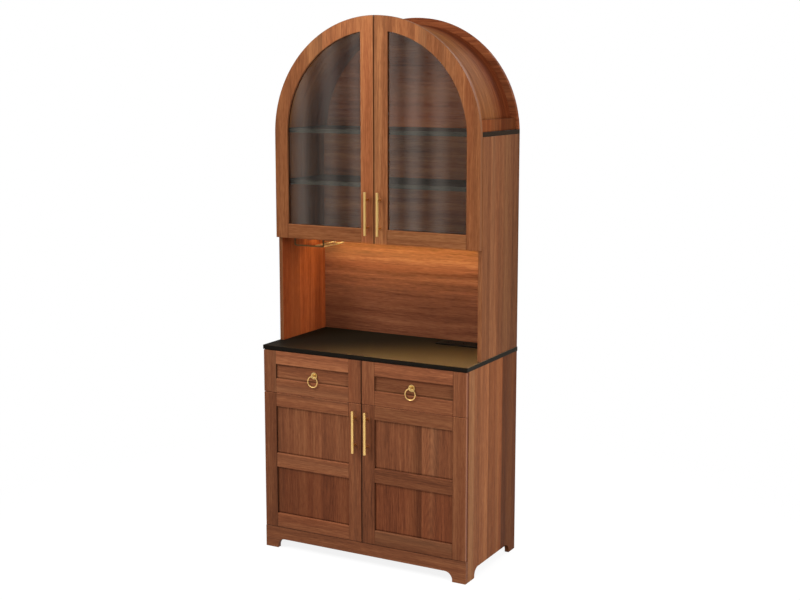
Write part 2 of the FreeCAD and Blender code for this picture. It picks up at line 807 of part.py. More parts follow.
os.makedirs("parts", exist_ok=True)
for name, shape in nodes.items():
    shape.exportStep("parts/" + name + ".step")
    print(name, len(shape.Solids), "solids", round(shape.Volume / 1000), "cm3", shape.isValid())
print(len(nodes), "nodes")
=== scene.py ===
# %% [markdown]
# # A buffet cabinet with an arched glass top
# This lesson dresses a cabinet that was drawn in CAD. The boards, doors, drawers, hinges and handles arrive
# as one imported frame, in metres, with X to the right, Y to the back and Z up. Nothing in that frame is moved.
# What is added here is what a drawing can't show: wood grain, lacquer, gold, smoked glass, screws and light.

# %% Load the frame
import math
import bpy
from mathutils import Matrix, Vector


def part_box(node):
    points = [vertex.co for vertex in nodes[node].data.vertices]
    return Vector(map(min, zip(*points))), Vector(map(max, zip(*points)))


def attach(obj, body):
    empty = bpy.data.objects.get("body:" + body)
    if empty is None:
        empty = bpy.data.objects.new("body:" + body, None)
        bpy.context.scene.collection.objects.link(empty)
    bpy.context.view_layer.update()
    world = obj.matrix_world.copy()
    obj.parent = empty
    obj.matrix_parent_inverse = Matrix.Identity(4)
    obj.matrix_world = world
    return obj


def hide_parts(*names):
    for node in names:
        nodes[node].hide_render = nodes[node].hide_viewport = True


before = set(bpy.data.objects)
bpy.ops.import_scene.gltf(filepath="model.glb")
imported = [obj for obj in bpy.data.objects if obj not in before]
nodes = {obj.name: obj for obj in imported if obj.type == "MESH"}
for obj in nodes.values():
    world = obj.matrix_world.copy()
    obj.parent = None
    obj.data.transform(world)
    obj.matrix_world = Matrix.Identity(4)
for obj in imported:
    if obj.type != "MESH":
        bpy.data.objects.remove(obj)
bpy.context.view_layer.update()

# %% [markdown]
# ## The camera
# The photograph was taken from the right and a little above, with a long lens: uprights stay nearly upright.
# The place of a camera can be guessed by eye, or solved from corners whose real places are known. It was
# solved, so the values below are an orbit around a point near the middle of the cabinet, and a focal length
# in pixels.

# %% Camera
IMAGE_WIDTH = 800
SENSOR_WIDTH = 36.0
ORBIT = math.radians(28.643)
HEIGHT_ANGLE = math.radians(8.718)
DISTANCE = 4.6736
AIM = Vector((0.04076, 0.0125, 0.97878))
FOCAL_PIXELS = 1347.3
AXIS_ABOVE_CENTRE = 22

outward = Vector((
    math.sin(ORBIT) * math.cos(HEIGHT_ANGLE),
    -math.cos(ORBIT) * math.cos(HEIGHT_ANGLE),
    math.sin(HEIGHT_ANGLE),
))
camera = bpy.data.objects.new("camera", bpy.data.cameras.new("camera"))
camera.location = AIM + outward * DISTANCE
camera.rotation_euler = outward.to_track_quat("Z", "Y").to_euler()
camera.data.sensor_width = SENSOR_WIDTH
camera.data.lens = FOCAL_PIXELS * SENSOR_WIDTH / IMAGE_WIDTH
camera.data.shift_y = -AXIS_ABOVE_CENTRE / IMAGE_WIDTH
bpy.context.scene.collection.objects.link(camera)
bpy.context.scene.camera = camera
print("camera at", [round(v, 3) for v in camera.location], "lens", round(camera.data.lens, 1), "mm")

# %% [markdown]
# ## Node sums in plain Python
# A wood finish is mostly arithmetic: stretch a noise, cut it at a level, mix two browns by it. Each step is a
# node, and wiring nodes by hand hides the arithmetic. The small class below wraps one socket, so that an
# expression such as `1 - mask * 0.4` adds its own Math nodes. Every other node, in a finish, in a Geometry
# Nodes tree or in the world, comes from the single method `node`: the node's type, its settings, and the
# values or links of its sockets.

# %% Sockets that do arithmetic


class Value:
    """One output socket of a node tree."""

    def __init__(self, owner, socket):
        self.owner = owner
        self.socket = socket

    def out(self, name):
        """Another output of the same node."""
        return Value(self.owner, self.owner.find(self.socket.node.outputs, name))

    def __add__(self, other):
        return self.owner.calc("ADD", self, other)

    def __mul__(self, other):
        return self.owner.calc("MULTIPLY", self, other)

    def __sub__(self, other):
        return self.owner.calc("SUBTRACT", self, other)

    def __rsub__(self, other):
        return self.owner.calc("SUBTRACT", other, self)

    def __truediv__(self, other):
        return self.owner.calc("DIVIDE", self, other)

    def __gt__(self, other):
        return self.owner.calc("GREATER_THAN", self, other)

    def __lt__(self, other):
        return self.owner.calc("LESS_THAN", self, other)

    def __abs__(self):
        return self.owner.calc("ABSOLUTE", self)

    __radd__ = __add__
    __rmul__ = __mul__


class Nodes:
    """A node tree under construction."""

    def __init__(self, tree):
        self.tree = tree
        tree.nodes.clear()

    def node(self, kind, settings=None, sockets=None, out=0):
        """Add one node: its settings first, then the values or links of its sockets."""
        made = self.tree.nodes.new(kind)
        for name, setting in (settings or {}).items():
            if name == "stops":
                self.set_stops(made.color_ramp, setting)
            else:
                setattr(made, name, setting)
        for key, given in (sockets or {}).items():
            target = self.find(made.inputs, key)
            if isinstance(given, Value):
                self.tree.links.new(given.socket, target)
            else:
                target.default_value = given
        return Value(self, self.find(made.outputs, out)) if made.outputs else made

    @staticmethod
    def find(sockets, key):
        if isinstance(key, int):
            return sockets[key]
        return next(s for s in sockets if s.enabled and key in (s.identifier, s.name))

    @staticmethod
    def set_stops(ramp, stops):
        while len(ramp.elements) < len(stops):
            ramp.elements.new(0.5)
        for element, (place, colour) in zip(ramp.elements, stops):
            element.position = place
            element.color = (*colour, 1)

    def calc(self, operation, *given):
        return self.node("ShaderNodeMath", {"operation": operation}, dict(enumerate(given)))

    def parts(self, vector):
        """The three parts of a vector."""
        x = self.node("ShaderNodeSeparateXYZ", None, {0: vector})
        return x, x.out("Y"), x.out("Z")

    def vector(self, x, y, z):
        return self.node("ShaderNodeCombineXYZ", None, {0: x, 1: y, 2: z})


print("node helpers ready")

# %% [markdown]
# ## Finishes
# A finish is a material: a surface shader with noises behind its colour, its roughness and its fine relief.
# Patterns are laid out in the object's own metres, so grain keeps its real size on a board of any length.

# %% Finish helper


class Finish(Nodes):
    """A material under construction."""

    def __init__(self, name):
        self.material = bpy.data.materials.new(name)
        self.material.use_nodes = True
        super().__init__(self.material.node_tree)

    def place(self):
        """Object coordinates, in metres."""
        return self.node("ShaderNodeTexCoord", out="Object")

    def noise(self, vector, scale=1.0, detail=2.0, roughness=0.5):
        return self.node("ShaderNodeTexNoise", None, {
            "Vector": vector, "Scale": scale, "Detail": detail, "Roughness": roughness,
        }, "Fac")

    def grain(self, vector, scales, **look):
        """A noise that repeats so many times in a metre along X and Y, and so many along Z."""
        across, along = scales
        drawn = self.node("ShaderNodeMapping", None, {"Vector": vector, "Scale": (across, across, along)})
        return self.noise(drawn, **look)

    def ramp(self, factor, low, high):
        """0 at low, 1 at high, and a smooth slope between."""
        return self.node("ShaderNodeMapRange", {"interpolation_type": "SMOOTHSTEP"}, {
            "Value": factor, "From Min": low, "From Max": high,
        })

    def near(self, distance, edge, core):
        """1 within core of a place, 0 beyond edge, and a smooth slope between."""
        return self.ramp(abs(distance), edge, core)

    def choose(self, mask, off, on):
        """One number where a mask is 0, and another where it is 1."""
        return off + mask * (on - off)

    def blend(self, factor, first, second):
        """A colour between two colours."""
        first = first if isinstance(first, Value) else (*first, 1)
        second = second if isinstance(second, Value) else (*second, 1)
        return self.node("ShaderNodeMix", {"data_type": "RGBA"}, {
            "Factor_Float": factor, "A_Color": first, "B_Color": second,
        }, "Result_Color")

    def bump(self, height, strength, distance):
        return self.node("ShaderNodeBump", None, {
            "Height": height, "Strength": strength, "Distance": distance,
        })

    def surface(self, sockets):
        return self.done(self.node("ShaderNodeBsdfPrincipled", None, sockets))

    def done(self, shader):
        self.node("ShaderNodeOutputMaterial", None, {"Surface": shader})
        return self.material


def started(name):
    """A new finish, and the three parts of a point's place."""
    finish = Finish(name)
    return finish, *finish.parts(finish.place())


def srgb(red, green, blue):
    """A colour as a paint chart gives it, 0 to 255, turned into the linear values that shaders use."""
    parts = [v / 255 for v in (red, green, blue)]
    return tuple(v / 12.92 if v <= 0.04045 else ((v + 0.055) / 1.055) ** 2.4 for v in parts)


def dress(material, *names):
    """Put one finish on CAD pieces."""
    for name in names:
        slots = nodes[name].data.materials
        slots.clear()
        slots.append(material)


print("finish helpers ready")

# %% [markdown]
# ## Walnut
# The boards are faced with walnut veneer under satin lacquer. Walnut shows several things at several scales:
# bands as wide as a finger where the tree grew slower or faster, fine straight streaks, short flecks that
# break them up, and pores as dark dashes. A picture of veneer could be mapped on, but it would repeat and
# stretch. Here each scale is a noise, squeezed across the grain and drawn out along it, so a board of any
# size gets its own figure.

# %% Walnut colours and scales
WALNUT_DARK = srgb(70, 38, 25)
WALNUT_MID = srgb(123, 72, 46)
WALNUT_LIGHT = srgb(160, 104, 68)
WALNUT_RED = srgb(120, 57, 32)
WALNUT_TAN = srgb(142, 100, 70)
PLAIN = (1.0, 1.0, 1.0)
LACQUER_GLOSS = 0.07
SIDE_GLOSS = 0.02
MATT_GLOSS = 0.004

# How often each part of the figure repeats in a metre, across the grain and along it
SWAY = (8, 1.1)
BANDS = (16, 0.35)
HUES = (13, 0.4)
STREAKS = (50, 1.0)
FLECKS = (300, 9)
FIBRES = (380, 36)
PORES = (1000, 30)

# How far the sway moves the grain, in metres, and how much each part changes the colour
SWAY_REACH = 0.02
BAND_WEIGHT = 0.5
STREAK_WEIGHT = 0.55
FLECK_WEIGHT = 0.5
FIBRE_WEIGHT = 0.4
HUE_WEIGHT = 0.3
PORE_WEIGHT = 0.45

# Between which levels of its noise the wood turns red or tan, or a pore shows
RED_STEP = (0.52, 0.78)
TAN_STEP = (0.48, 0.24)
PORE_STEP = (0.62, 0.74)

# How far a seed of 1 moves a board in the tree, in metres, and the seed from one sheet to the next
SEED_ACROSS = 1.37
SEED_BELOW = 0.71
SEED_ALONG = 2.93
SHEET_SEED = 3.1
print("walnut has", len((BANDS, HUES, STREAKS, FLECKS, FIBRES, PORES)), "scales of figure")

# %% Walnut finish


def walnut_parts(finish, across, along, depth, seed, tone=1.0, tint=PLAIN, figure=0.0, gloss=LACQUER_GLOSS):
    """The sockets of a walnut surface, from a point's place across, along and below the grain."""
    beside = across + seed * SEED_ACROSS
    below = depth + seed * SEED_BELOW
    length = along + seed * SEED_ALONG
    sway = finish.grain(finish.vector(beside, below, length), SWAY)
    grown = finish.vector(beside + (sway - 0.5) * SWAY_REACH, below, length)
    bands = finish.grain(grown, BANDS)
    hue = finish.grain(grown, HUES)
    streaks = finish.grain(grown, STREAKS, detail=3.0, roughness=0.6)
    flecks = finish.grain(grown, FLECKS, roughness=0.6)
    fibres = finish.grain(grown, FIBRES)
    pores = finish.grain(grown, PORES, detail=1.0)
    wide = (bands - 0.5) * BAND_WEIGHT + (streaks - 0.5) * STREAK_WEIGHT
    fine = (flecks - 0.5) * FLECK_WEIGHT + (fibres - 0.5) * FIBRE_WEIGHT
    colour = finish.node("ShaderNodeValToRGB", {"stops": [
        (0.14, WALNUT_DARK), (0.5, WALNUT_MID), (0.88, WALNUT_LIGHT),
    ]}, {"Fac": 0.5 + figure + wide + fine}, "Color")
    colour = finish.blend(finish.ramp(hue, *RED_STEP) * HUE_WEIGHT, colour, WALNUT_RED)
    colour = finish.blend(finish.ramp(hue, *TAN_STEP) * HUE_WEIGHT, colour, WALNUT_TAN)
    dashes = finish.ramp(pores, *PORE_STEP)
    colour = finish.blend(dashes * PORE_WEIGHT, colour, WALNUT_DARK)
    colour = finish.node("ShaderNodeVectorMath", {"operation": "MULTIPLY"}, {0: colour, 1: tint})
    colour = finish.node("ShaderNodeVectorMath", {"operation": "SCALE"}, {0: colour, "Scale": tone})
    return {
        "Base Color": colour,
        "Roughness": 0.42 + (streaks - 0.5) * 0.16 + dashes * 0.1,
        "Normal": finish.bump(fibres * 0.4 - dashes, strength=0.25, distance=0.0004),
        "Specular IOR Level": gloss,
    }


def sheets(across, joints, tones):
    """Which sheet of veneer a point lies on, as a seed to add, and how light that sheet is."""
    seed, tone = 0.0, tones[0]
    for joint, before, after in zip(joints, tones, tones[1:]):
        past = across > joint
        seed = seed + past * SHEET_SEED
        tone = tone + past * (after - before)
    return seed, tone


def walnut(name, grain, seed, joints=(), tones=(1.0,), tint=PLAIN, gloss=LACQUER_GLOSS):
    """Walnut on a flat board, with level grain or, on a board that faces sideways, upright grain."""
    finish, x, y, z = started(name)
    across, along, depth = {"level": (z, x, y), "upright": (y, z, x)}[grain]
    sheet, tone = sheets(across, joints, tones)
    return finish.surface(walnut_parts(finish, across, along, depth, seed + sheet, tone, tint, 0.0, gloss))


print("walnut ready")

# %% [markdown]
# ## Side boards
# A wide board is faced with several sheets of veneer, laid side by side, and where they meet the grain jumps
# and the tone changes. One long noise would look like a plank instead, so a board's finish knows where its
# sheets meet and how light each one is. The faces towards the niche are redder than the outer ones.

# %% Side boards
FACE_MARGIN = 0.0005
SIDE_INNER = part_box("hutch_side_right")[0].x
NICHE_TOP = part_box("hutch_floor")[0].z
LOW_SIDE_JOINTS = (-0.13, -0.02, 0.092)
LOW_SIDE_TONES = (1.14, 1.28, 1.06, 0.56)
TINT_TURN = 0.1
GOLDEN = (1.0, 1.1, 1.05)
RUDDY = (1.04, 0.94, 0.78)
HUTCH_SIDE_JOINTS = (-0.02, 0.035, 0.085)
HUTCH_SIDE_TONES = (1.0, 1.15, 1.05, 0.82)
NICHE_SIDE_JOINTS = (0.03,)
NICHE_SIDE_TONES = (0.97, 1.2)
NICHE_SEED = 5.3
YELLOWISH = (0.93, 1.03, 1.0)
REDDISH = (1.04, 0.67, 0.47)


def low_side_walnut(name, seed):
    """A lower side: upright grain in four sheets, from yellow-brown in front to red-brown at the back."""
    finish, x, y, z = started(name)
    sheet, tone = sheets(y, LOW_SIDE_JOINTS, LOW_SIDE_TONES)
    tint = finish.blend(finish.ramp(y, -TINT_TURN, TINT_TURN), GOLDEN, RUDDY)
    return finish.surface(walnut_parts(finish, y, z, x, seed + sheet, tone, tint, 0.0, SIDE_GLOSS))


def hutch_side_walnut(name, seed):
    """A hutch side: upright grain in four sheets, and two redder ones on the face towards the niche."""
    finish, x, y, z = started(name)
    sheet, tone = sheets(y, HUTCH_SIDE_JOINTS, HUTCH_SIDE_TONES)
    inner_sheet, inner_tone = sheets(y, NICHE_SIDE_JOINTS, NICHE_SIDE_TONES)
    inward = (abs(x) < SIDE_INNER + FACE_MARGIN) * (z < NICHE_TOP)
    sheet = finish.choose(inward, sheet, inner_sheet + NICHE_SEED)
    tone = finish.choose(inward, tone, inner_tone)
    tint = finish.blend(inward, YELLOWISH, REDDISH)
    return finish.surface(walnut_parts(finish, y, z, x, seed + sheet, tone, tint, 0.0, SIDE_GLOSS))


for side, low_seed, hutch_seed in (("right", 3.0, 1.0), ("left", 4.0, 2.0)):
    dress(low_side_walnut(f"walnut_low_side_{side}", low_seed), f"lower_side_{side}")
    dress(hutch_side_walnut(f"walnut_side_{side}", hutch_seed), f"hutch_side_{side}")
print("walnut on 4 side boards")

# %% [markdown]
# ## Plain boards
# The plinth, the level boards and the lower back have plain level grain, and the divider between the drawers
# has upright grain. So have the cleats at the roof's feet, which darken towards the back.

# %% Plain boards
CLEAT_JOINTS = (0.0, 0.08)
CLEAT_TONES = (0.95, 0.78, 0.56)
CLEAT_TINT = (1.0, 0.84, 0.68)

dress(walnut("walnut_plinth", "level", 5.0, tones=(0.9,)), "plinth_board")
dress(walnut("walnut_inner_boards", "level", 8.0),
      "lower_bottom_board", "drawer_deck", "lower_shelf", "hutch_floor")
dress(walnut("walnut_back_board", "level", 9.0), "lower_back_panel")
dress(walnut("walnut_divider", "upright", 10.0), "drawer_divider")
cleats = walnut("walnut_cleats", "upright", 11.0, CLEAT_JOINTS, CLEAT_TONES, CLEAT_TINT, MATT_GLOSS)
dress(cleats, "roof_cleats")
print("walnut on the plain boards")

# %% [markdown]
# ## Back boards
# The niche's back has level grain with wide wavy veins. A glow of the light strip is painted on it: it is
# painted lighter and yellower towards the strip, and so darker towards the counter. The arched back carries
# fine veins on the rim that stands out behind the roof. Both sets of veins are one more noise each, added to
# the figure that every walnut board has.

# %% Back boards
ARCH_CENTRE = 1.475
ROOF_RADIUS = 0.369
RIM_TONE = 0.92
CUPBOARD_TONE = 1.15
RIM_TINT = (1.0, 0.82, 0.72)
CUPBOARD_TINT = (1.0, 0.92, 0.85)
RIM_FIGURE = 0.9
NICHE_TONE = 0.85
# The painted glow of the light strip on the niche back: how much it lightens, and where it starts and ends
PAINTED_GLOW_RISE = 0.57
GLOW_PAINT_START = 0.82
GLOW_PAINT_FULL = 0.93
BEHIND_CUPBOARD = 0.12
NICHE_FIGURE = 0.6
WAVE_REACH = 0.09
# Where the painted glow turns yellower, from the niche's own tint to the tint of the glow
GLOW_TINT_START = 0.99
GLOW_TINT_FULL = 1.08
NICHE_TINT = (1.0, 1.0, 1.12)
PAINTED_GLOW_TINT = (1.0, 1.03, 0.88)

# How often the veins repeat in a metre, along X and up Z
RIM_VEINS = (2.0, 110.0)
NICHE_WAVES = (2.5, 2.0)
NICHE_VEINS = (0.8, 34.0)


def veins(finish, x, z, scales, depth=0.0, **look):
    """A noise on an upright plane, cut at some depth in the tree."""
    return finish.noise(finish.vector(x * scales[0], depth, z * scales[1]), **look)


def arch_back_walnut(name, seed):
    """The arched back: lighter inside the cupboard than on the veined rim around the roof."""
    finish, x, y, z = started(name)
    above = z - ARCH_CENTRE
    inside = finish.calc("SQRT", x * x + above * above) < ROOF_RADIUS
    tone = finish.choose(inside, RIM_TONE, CUPBOARD_TONE)
    tint = finish.blend(inside, RIM_TINT, CUPBOARD_TINT)
    figure = (veins(finish, x, z, RIM_VEINS) - 0.5) * (1 - inside) * RIM_FIGURE
    return finish.surface(walnut_parts(finish, z, x, y, seed, tone, tint, figure, MATT_GLOSS))


def niche_back_walnut(name, seed):
    """The hutch back: wavy veins, and a painted glow of the light strip, lighter and yellower towards it."""
    finish, x, y, z = started(name)
    # painted light: the strip's glow, painted into tone and tint, fades down towards the counter
    painted_glow = finish.ramp(z, GLOW_PAINT_START, GLOW_PAINT_FULL)
    tone = NICHE_TONE + painted_glow * PAINTED_GLOW_RISE - (z > NICHE_TOP) * BEHIND_CUPBOARD
    tint = finish.blend(finish.ramp(z, GLOW_TINT_START, GLOW_TINT_FULL), NICHE_TINT, PAINTED_GLOW_TINT)
    wavy = z + veins(finish, x, z, NICHE_WAVES, depth=3.0) * WAVE_REACH
    figure = (veins(finish, x, wavy, NICHE_VEINS, depth=7.0, detail=3.0, roughness=0.6) - 0.5) * NICHE_FIGURE
    return finish.surface(walnut_parts(finish, z, x, y, seed, tone, tint, figure))


dress(niche_back_walnut("walnut_niche_back", 6.0), "hutch_back_panel")
dress(arch_back_walnut("walnut_arch_back", 7.0), "arch_back_panel")
print("walnut on 2 back boards")

# %% [markdown]
# ## Recessed panels
# The panels of the drawers have level grain, and those of the doors upright grain in four sheets. The last
# sheet is cut flat through the tree, so its rings show as a row of pointed arches: a sine of the height, bent
# down on both sides of a crown. A fine dark line of painted shade runs at the foot of each recess, and the door
# panels are painted darker below the middle rail, as painted shade.

# %% Recessed panels
panel_low, panel_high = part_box("lower_left_door_panels")
RAIL_WIDTH = 0.050
MIDDLE_RAIL = (panel_low.z + panel_high.z) / 2
DOOR_LIPS = (panel_low.z, MIDDLE_RAIL + RAIL_WIDTH / 2)
DRAWER_LIP, DRAWER_HEAD = (corner.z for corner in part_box("left_drawer_front_panel"))
# The fine line of painted shade at the foot of each recess: its rise above the rail, its width and its depth
FOOT_RISE = 0.0025
FOOT_LINE = (0.004, 0.001)
FOOT_SHADE = 0.5
LAST_JOINT = 0.229
PANEL_JOINTS = (-0.19, 0.0, LAST_JOINT)
PANEL_TONES = (0.9, 1.0, 0.95, 1.0)
JOINT_REACH = 0.06
JOINT_STAIN = 0.42
# painted shade on the door panels below the middle rail
LOW_PAINTED_SHADE = (0.88, 0.77, 0.73)
LOW_LEFT_STAIN = 0.13
CROWN = 0.262
CROWN_HALF = 0.035
CROWN_RINGS = 170.0
CROWN_BEND = 0.14
CROWN_WAVES = (20.0, 3.0)
CROWN_WAVE_REACH = 0.12
CROWN_FIGURE = 0.05


def painted_foot_shade(finish, z, lips):
    """How light a panel stays under its painted shade: darker in a fine line just above each rail."""
    line = 0.0
    for lip in lips:
        line = line + finish.near(z - (lip + FOOT_RISE), *FOOT_LINE)
    return 1 - line * FOOT_SHADE


def drawer_panel_walnut(name, seed, tone):
    """A drawer's panel: level grain."""
    finish, x, y, z = started(name)
    # painted shade: a fine dark line just above the rail
    return finish.surface(walnut_parts(finish, z, x, y, seed, tone * painted_foot_shade(finish, z, (DRAWER_LIP,))))


def door_panel_walnut(name, seed):
    """The door panels: upright grain, darker towards the last joint and, as painted shade, below the middle
    rail.
    """
    finish, x, y, z = started(name)
    sheet, tone = sheets(x, PANEL_JOINTS, PANEL_TONES)
    low = z < MIDDLE_RAIL
    joint = finish.ramp(x, LAST_JOINT - JOINT_REACH, LAST_JOINT) * (x < LAST_JOINT)
    tone = tone * (1 - joint * JOINT_STAIN) * (1 - low * (x < 0) * LOW_LEFT_STAIN)
    # painted shade: a fine dark line just above each rail
    tone = tone * painted_foot_shade(finish, z, DOOR_LIPS)
    # painted shade below the middle rail
    tint = finish.blend(low, PLAIN, LOW_PAINTED_SHADE)
    off = (x - CROWN) / CROWN_HALF
    wave = veins(finish, x, z, CROWN_WAVES) * CROWN_WAVE_REACH
    rings = finish.calc("SINE", (z + wave + off * off * CROWN_BEND) * CROWN_RINGS)
    figure = rings * finish.near(off, 1.0, 0.5) * CROWN_FIGURE
    return finish.surface(walnut_parts(finish, x, z, y, seed + sheet, tone, tint, figure))


for side, seed, tone in (("left", 14.0, 1.0), ("right", 15.0, 0.7)):
    dress(drawer_panel_walnut(f"walnut_drawer_panel_{side}", seed, tone), f"{side}_drawer_front_panel")
dress(door_panel_walnut("walnut_panels", 13.0), "lower_left_door_panels", "lower_right_door_panels")
print("walnut on the recessed panels")

# %% [markdown]
# ## Door and drawer frames
# A framed front is two upright stiles with level rails between them, each cut along its own grain. The
# members arrive as one piece, so the finish has to tell them apart by where a point lies: between the stiles
# is a rail. The same test moves each member to its own part of the tree. The outer edges carry a paler edge
# band, which shows as a thin light line; on the lower fronts it is paler still, a painted highlight, and its
# rear part is painted dark, as painted shade. The stiles' other edges are painted darker than the faces, as
# painted shade, so the recesses and the gaps between doors are drawn with a fine dark line. The edges between
# a drawer and the door below it are painted light against the shade there, and that seam hardly shows. The
# arch is painted lighter towards its crest and the drawers' head rails under the counter are painted lighter,
# as painted light, and the rails' top edges carry a painted highlight.

# %% Places on the fronts
STILE_INNER = -panel_high.x
STILE_OUTER = -panel_low.x
STILE_MIDDLE = (STILE_INNER + STILE_OUTER) / 2
STILE_REACH = (STILE_OUTER - STILE_INNER) / 2
low_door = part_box("lower_left_door_frame")
glass_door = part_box("upper_left_door_frame")
FRONT_REACH = -low_door[0].x
FRONT_THICKNESS = low_door[1].y - low_door[0].y
DOOR_TOP = low_door[1].z
DRAWER_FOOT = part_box("left_drawer_front_frame")[0].z
COUNTER_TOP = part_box("countertop")[1].z
GLASS_BOTTOM = glass_door[0].z + RAIL_WIDTH
CREST = 1.8
ABOVE_ALL = 10.0
print("fronts reach", round(FRONT_REACH, 4), "and are", round(FRONT_THICKNESS, 4), "thick")

# %% Framed fronts
EDGE_BAND = srgb(124, 82, 55)
# The lower fronts' edge band, paler as a painted highlight; EDGE_SHADE is the painted shade on the rear part
LOW_BAND_AND_HIGHLIGHT = srgb(158, 110, 84)
BAND_SHARE = 0.6
EDGE_SHADE = srgb(92, 38, 18)
LOW_SHADE_SHARE = 0.85
RIM_STEP = (-0.0025, -0.0002)
EDGE_STEP = (0.001, 0.002)
SHADE_STEP = (0.004, 0.007)
LIP_LINE = (0.0035, 0.002)
SEAM_LINE = (0.0016, 0.0004)
GAP_STEP = (0.004, 0.002)
SEAM_MARGIN = 0.0003
# How much darker the stiles' edges are as painted shade, the joint lines, and the gap between doors as painted
# shade
PAINTED_EDGE_SHADE = 0.65
ARCH_PAINTED_EDGE_SHADE = 0.25
SEAM_STAIN = 0.35
PAINTED_GAP_SHADE = 0.6
# How much lighter the rails' top edges are, as a painted highlight, and the crest, head rails and seam, as
# painted light
LIP_HIGHLIGHT = 0.3
CREST_PAINTED_LIGHT = 0.19
HEAD_PAINTED_LIGHT = 0.29
SEAM_PAINTED_LIGHT = 1.6
RAIL_SNAP = 0.1
RAIL_SEED = 9.0
OUTER_SEED = 1.7
RIGHT_SEED = 4.3


def framed_walnut(name, seed, front, rail_top, tones, lips, tint=PLAIN, gloss=LACQUER_GLOSS,
                  edge_shading=PAINTED_EDGE_SHADE, band=EDGE_BAND, shade=0.0):
    """Walnut on the frames of a pair of fronts.

    front is the place of the front face, and rails lie below rail_top. tones are those of the four stiles,
    from left to right, and of the left and the right rails. lips are the tops of rails below a recess.
    edge_shading darkens the stiles' edges as painted shade. band colours the outer edges, and shade darkens
    their rear part as painted shade.
    """
    finish, x, y, z = started(name)
    reach = abs(x)
    thick = y - front
    right = x > 0
    outer = reach > STILE_MIDDLE
    rail = (reach > STILE_INNER) * (reach < STILE_OUTER) * (z < rail_top)
    rail_seed = rail * finish.calc("SNAP", z, RAIL_SNAP) * RAIL_SEED
    member = rail_seed + outer * (1 - rail) * OUTER_SEED + right * RIGHT_SEED
    left_tone = finish.choose(outer, tones[1], tones[0])
    right_tone = finish.choose(outer, tones[2], tones[3])
    stile_tone = finish.choose(right, left_tone, right_tone)
    rail_tone = finish.choose(right, tones[4], tones[5])
    tone = finish.choose(rail, stile_tone, rail_tone)

    above = finish.calc("MAXIMUM", z - ARCH_CENTRE, 0.0)
    radius = finish.calc("SQRT", x * x + above * above)
    rim = finish.ramp(radius - FRONT_REACH, *RIM_STEP)
    edge = finish.ramp(thick, *EDGE_STEP) * (thick < FRONT_THICKNESS - EDGE_STEP[0]) * (1 - rail) * (1 - rim)
    joint = finish.near(abs(reach - STILE_MIDDLE) - STILE_REACH, *SEAM_LINE) * (z < rail_top)
    gap = finish.ramp(reach, *GAP_STEP)
    # painted shade on the stiles' edges and in the gap between the doors
    tone = tone * (1 - edge * edge_shading) * (1 - joint * SEAM_STAIN) * (1 - gap * PAINTED_GAP_SHADE)

    # painted light towards the arch's crest and on the drawers' head rails, and painted highlights on the
    # rails' top edges
    light = 1 + finish.ramp(z, ARCH_CENTRE, CREST) * CREST_PAINTED_LIGHT
    light = light + rail * (z > DRAWER_HEAD - FACE_MARGIN) * (z < COUNTER_TOP) * HEAD_PAINTED_LIGHT
    for lip in lips:
        light = light + finish.near(z - lip, *LIP_LINE) * rail * LIP_HIGHLIGHT
    # painted light in the seam between a drawer and the door below
    seam = (z > DOOR_TOP - SEAM_MARGIN) * (z < DRAWER_FOOT + SEAM_MARGIN)
    tone = tone * light * (1 + seam * SEAM_PAINTED_LIGHT)

    across = finish.choose(rail, x, z)
    along = finish.choose(rail, z, x)
    sockets = walnut_parts(finish, across, along, y, seed + member, tone, tint, 0.0, gloss)
    # the outer edge band, on the lower fronts a painted highlight as well, and painted shade on its rear part
    banded = finish.blend(rim * BAND_SHARE, sockets["Base Color"], band)
    behind = rim * finish.ramp(thick, *SHADE_STEP) * shade
    sockets["Base Color"] = finish.blend(behind, banded, EDGE_SHADE)
    return finish.surface(sockets)


print("finish for framed fronts ready")

# %% Frames of the doors and drawers
LOW_TONES = (0.74, 0.95, 0.9, 0.79, 1.0, 0.76)
DRAWER_TONES = (0.8, 0.95, 0.95, 0.92, 0.97, 0.92)
ARCH_TONES = (0.96, 1.37, 1.15, 0.99, 0.93, 0.85)
ARCH_TINT = (1.0, 1.05, 0.94)

low_edges = {"band": LOW_BAND_AND_HIGHLIGHT, "shade": LOW_SHADE_SHARE}
low_frames = framed_walnut(
    "walnut_low_door_frames", 21.0, low_door[0].y, ABOVE_ALL, LOW_TONES, DOOR_LIPS, **low_edges)
dress(low_frames, "lower_left_door_frame", "lower_right_door_frame")
drawer_frames = framed_walnut(
    "walnut_drawer_frames", 22.0, low_door[0].y, ABOVE_ALL, DRAWER_TONES, (DRAWER_LIP,), **low_edges)
dress(drawer_frames, "left_drawer_front_frame", "right_drawer_front_frame")
arch_frames = framed_walnut(
    "walnut_glass_door_frames", 23.0, glass_door[0].y, GLASS_BOTTOM, ARCH_TONES, (GLASS_BOTTOM,), ARCH_TINT,
    SIDE_GLOSS, ARCH_PAINTED_EDGE_SHADE)
dress(arch_frames, "upper_left_door_frame", "upper_right_door_frame")
print("walnut on the framed fronts")

# %% [markdown]
# ## Growing pieces with Geometry Nodes
# Some pieces follow a rule: a board bent round a former, a row of screws. A rule is best written once, with
# named sizes, as a Geometry Nodes tree. The helper below makes the tree's inputs, runs it on a starting mesh,
# and keeps the outcome as a plain mesh, because an exported model can't carry a tree.

# %% Geometry Nodes helper
INPUT_KINDS = {
    float: "NodeSocketFloat", int: "NodeSocketInt", tuple: "NodeSocketVector",
    bpy.types.Object: "NodeSocketObject", bpy.types.Material: "NodeSocketMaterial",
}


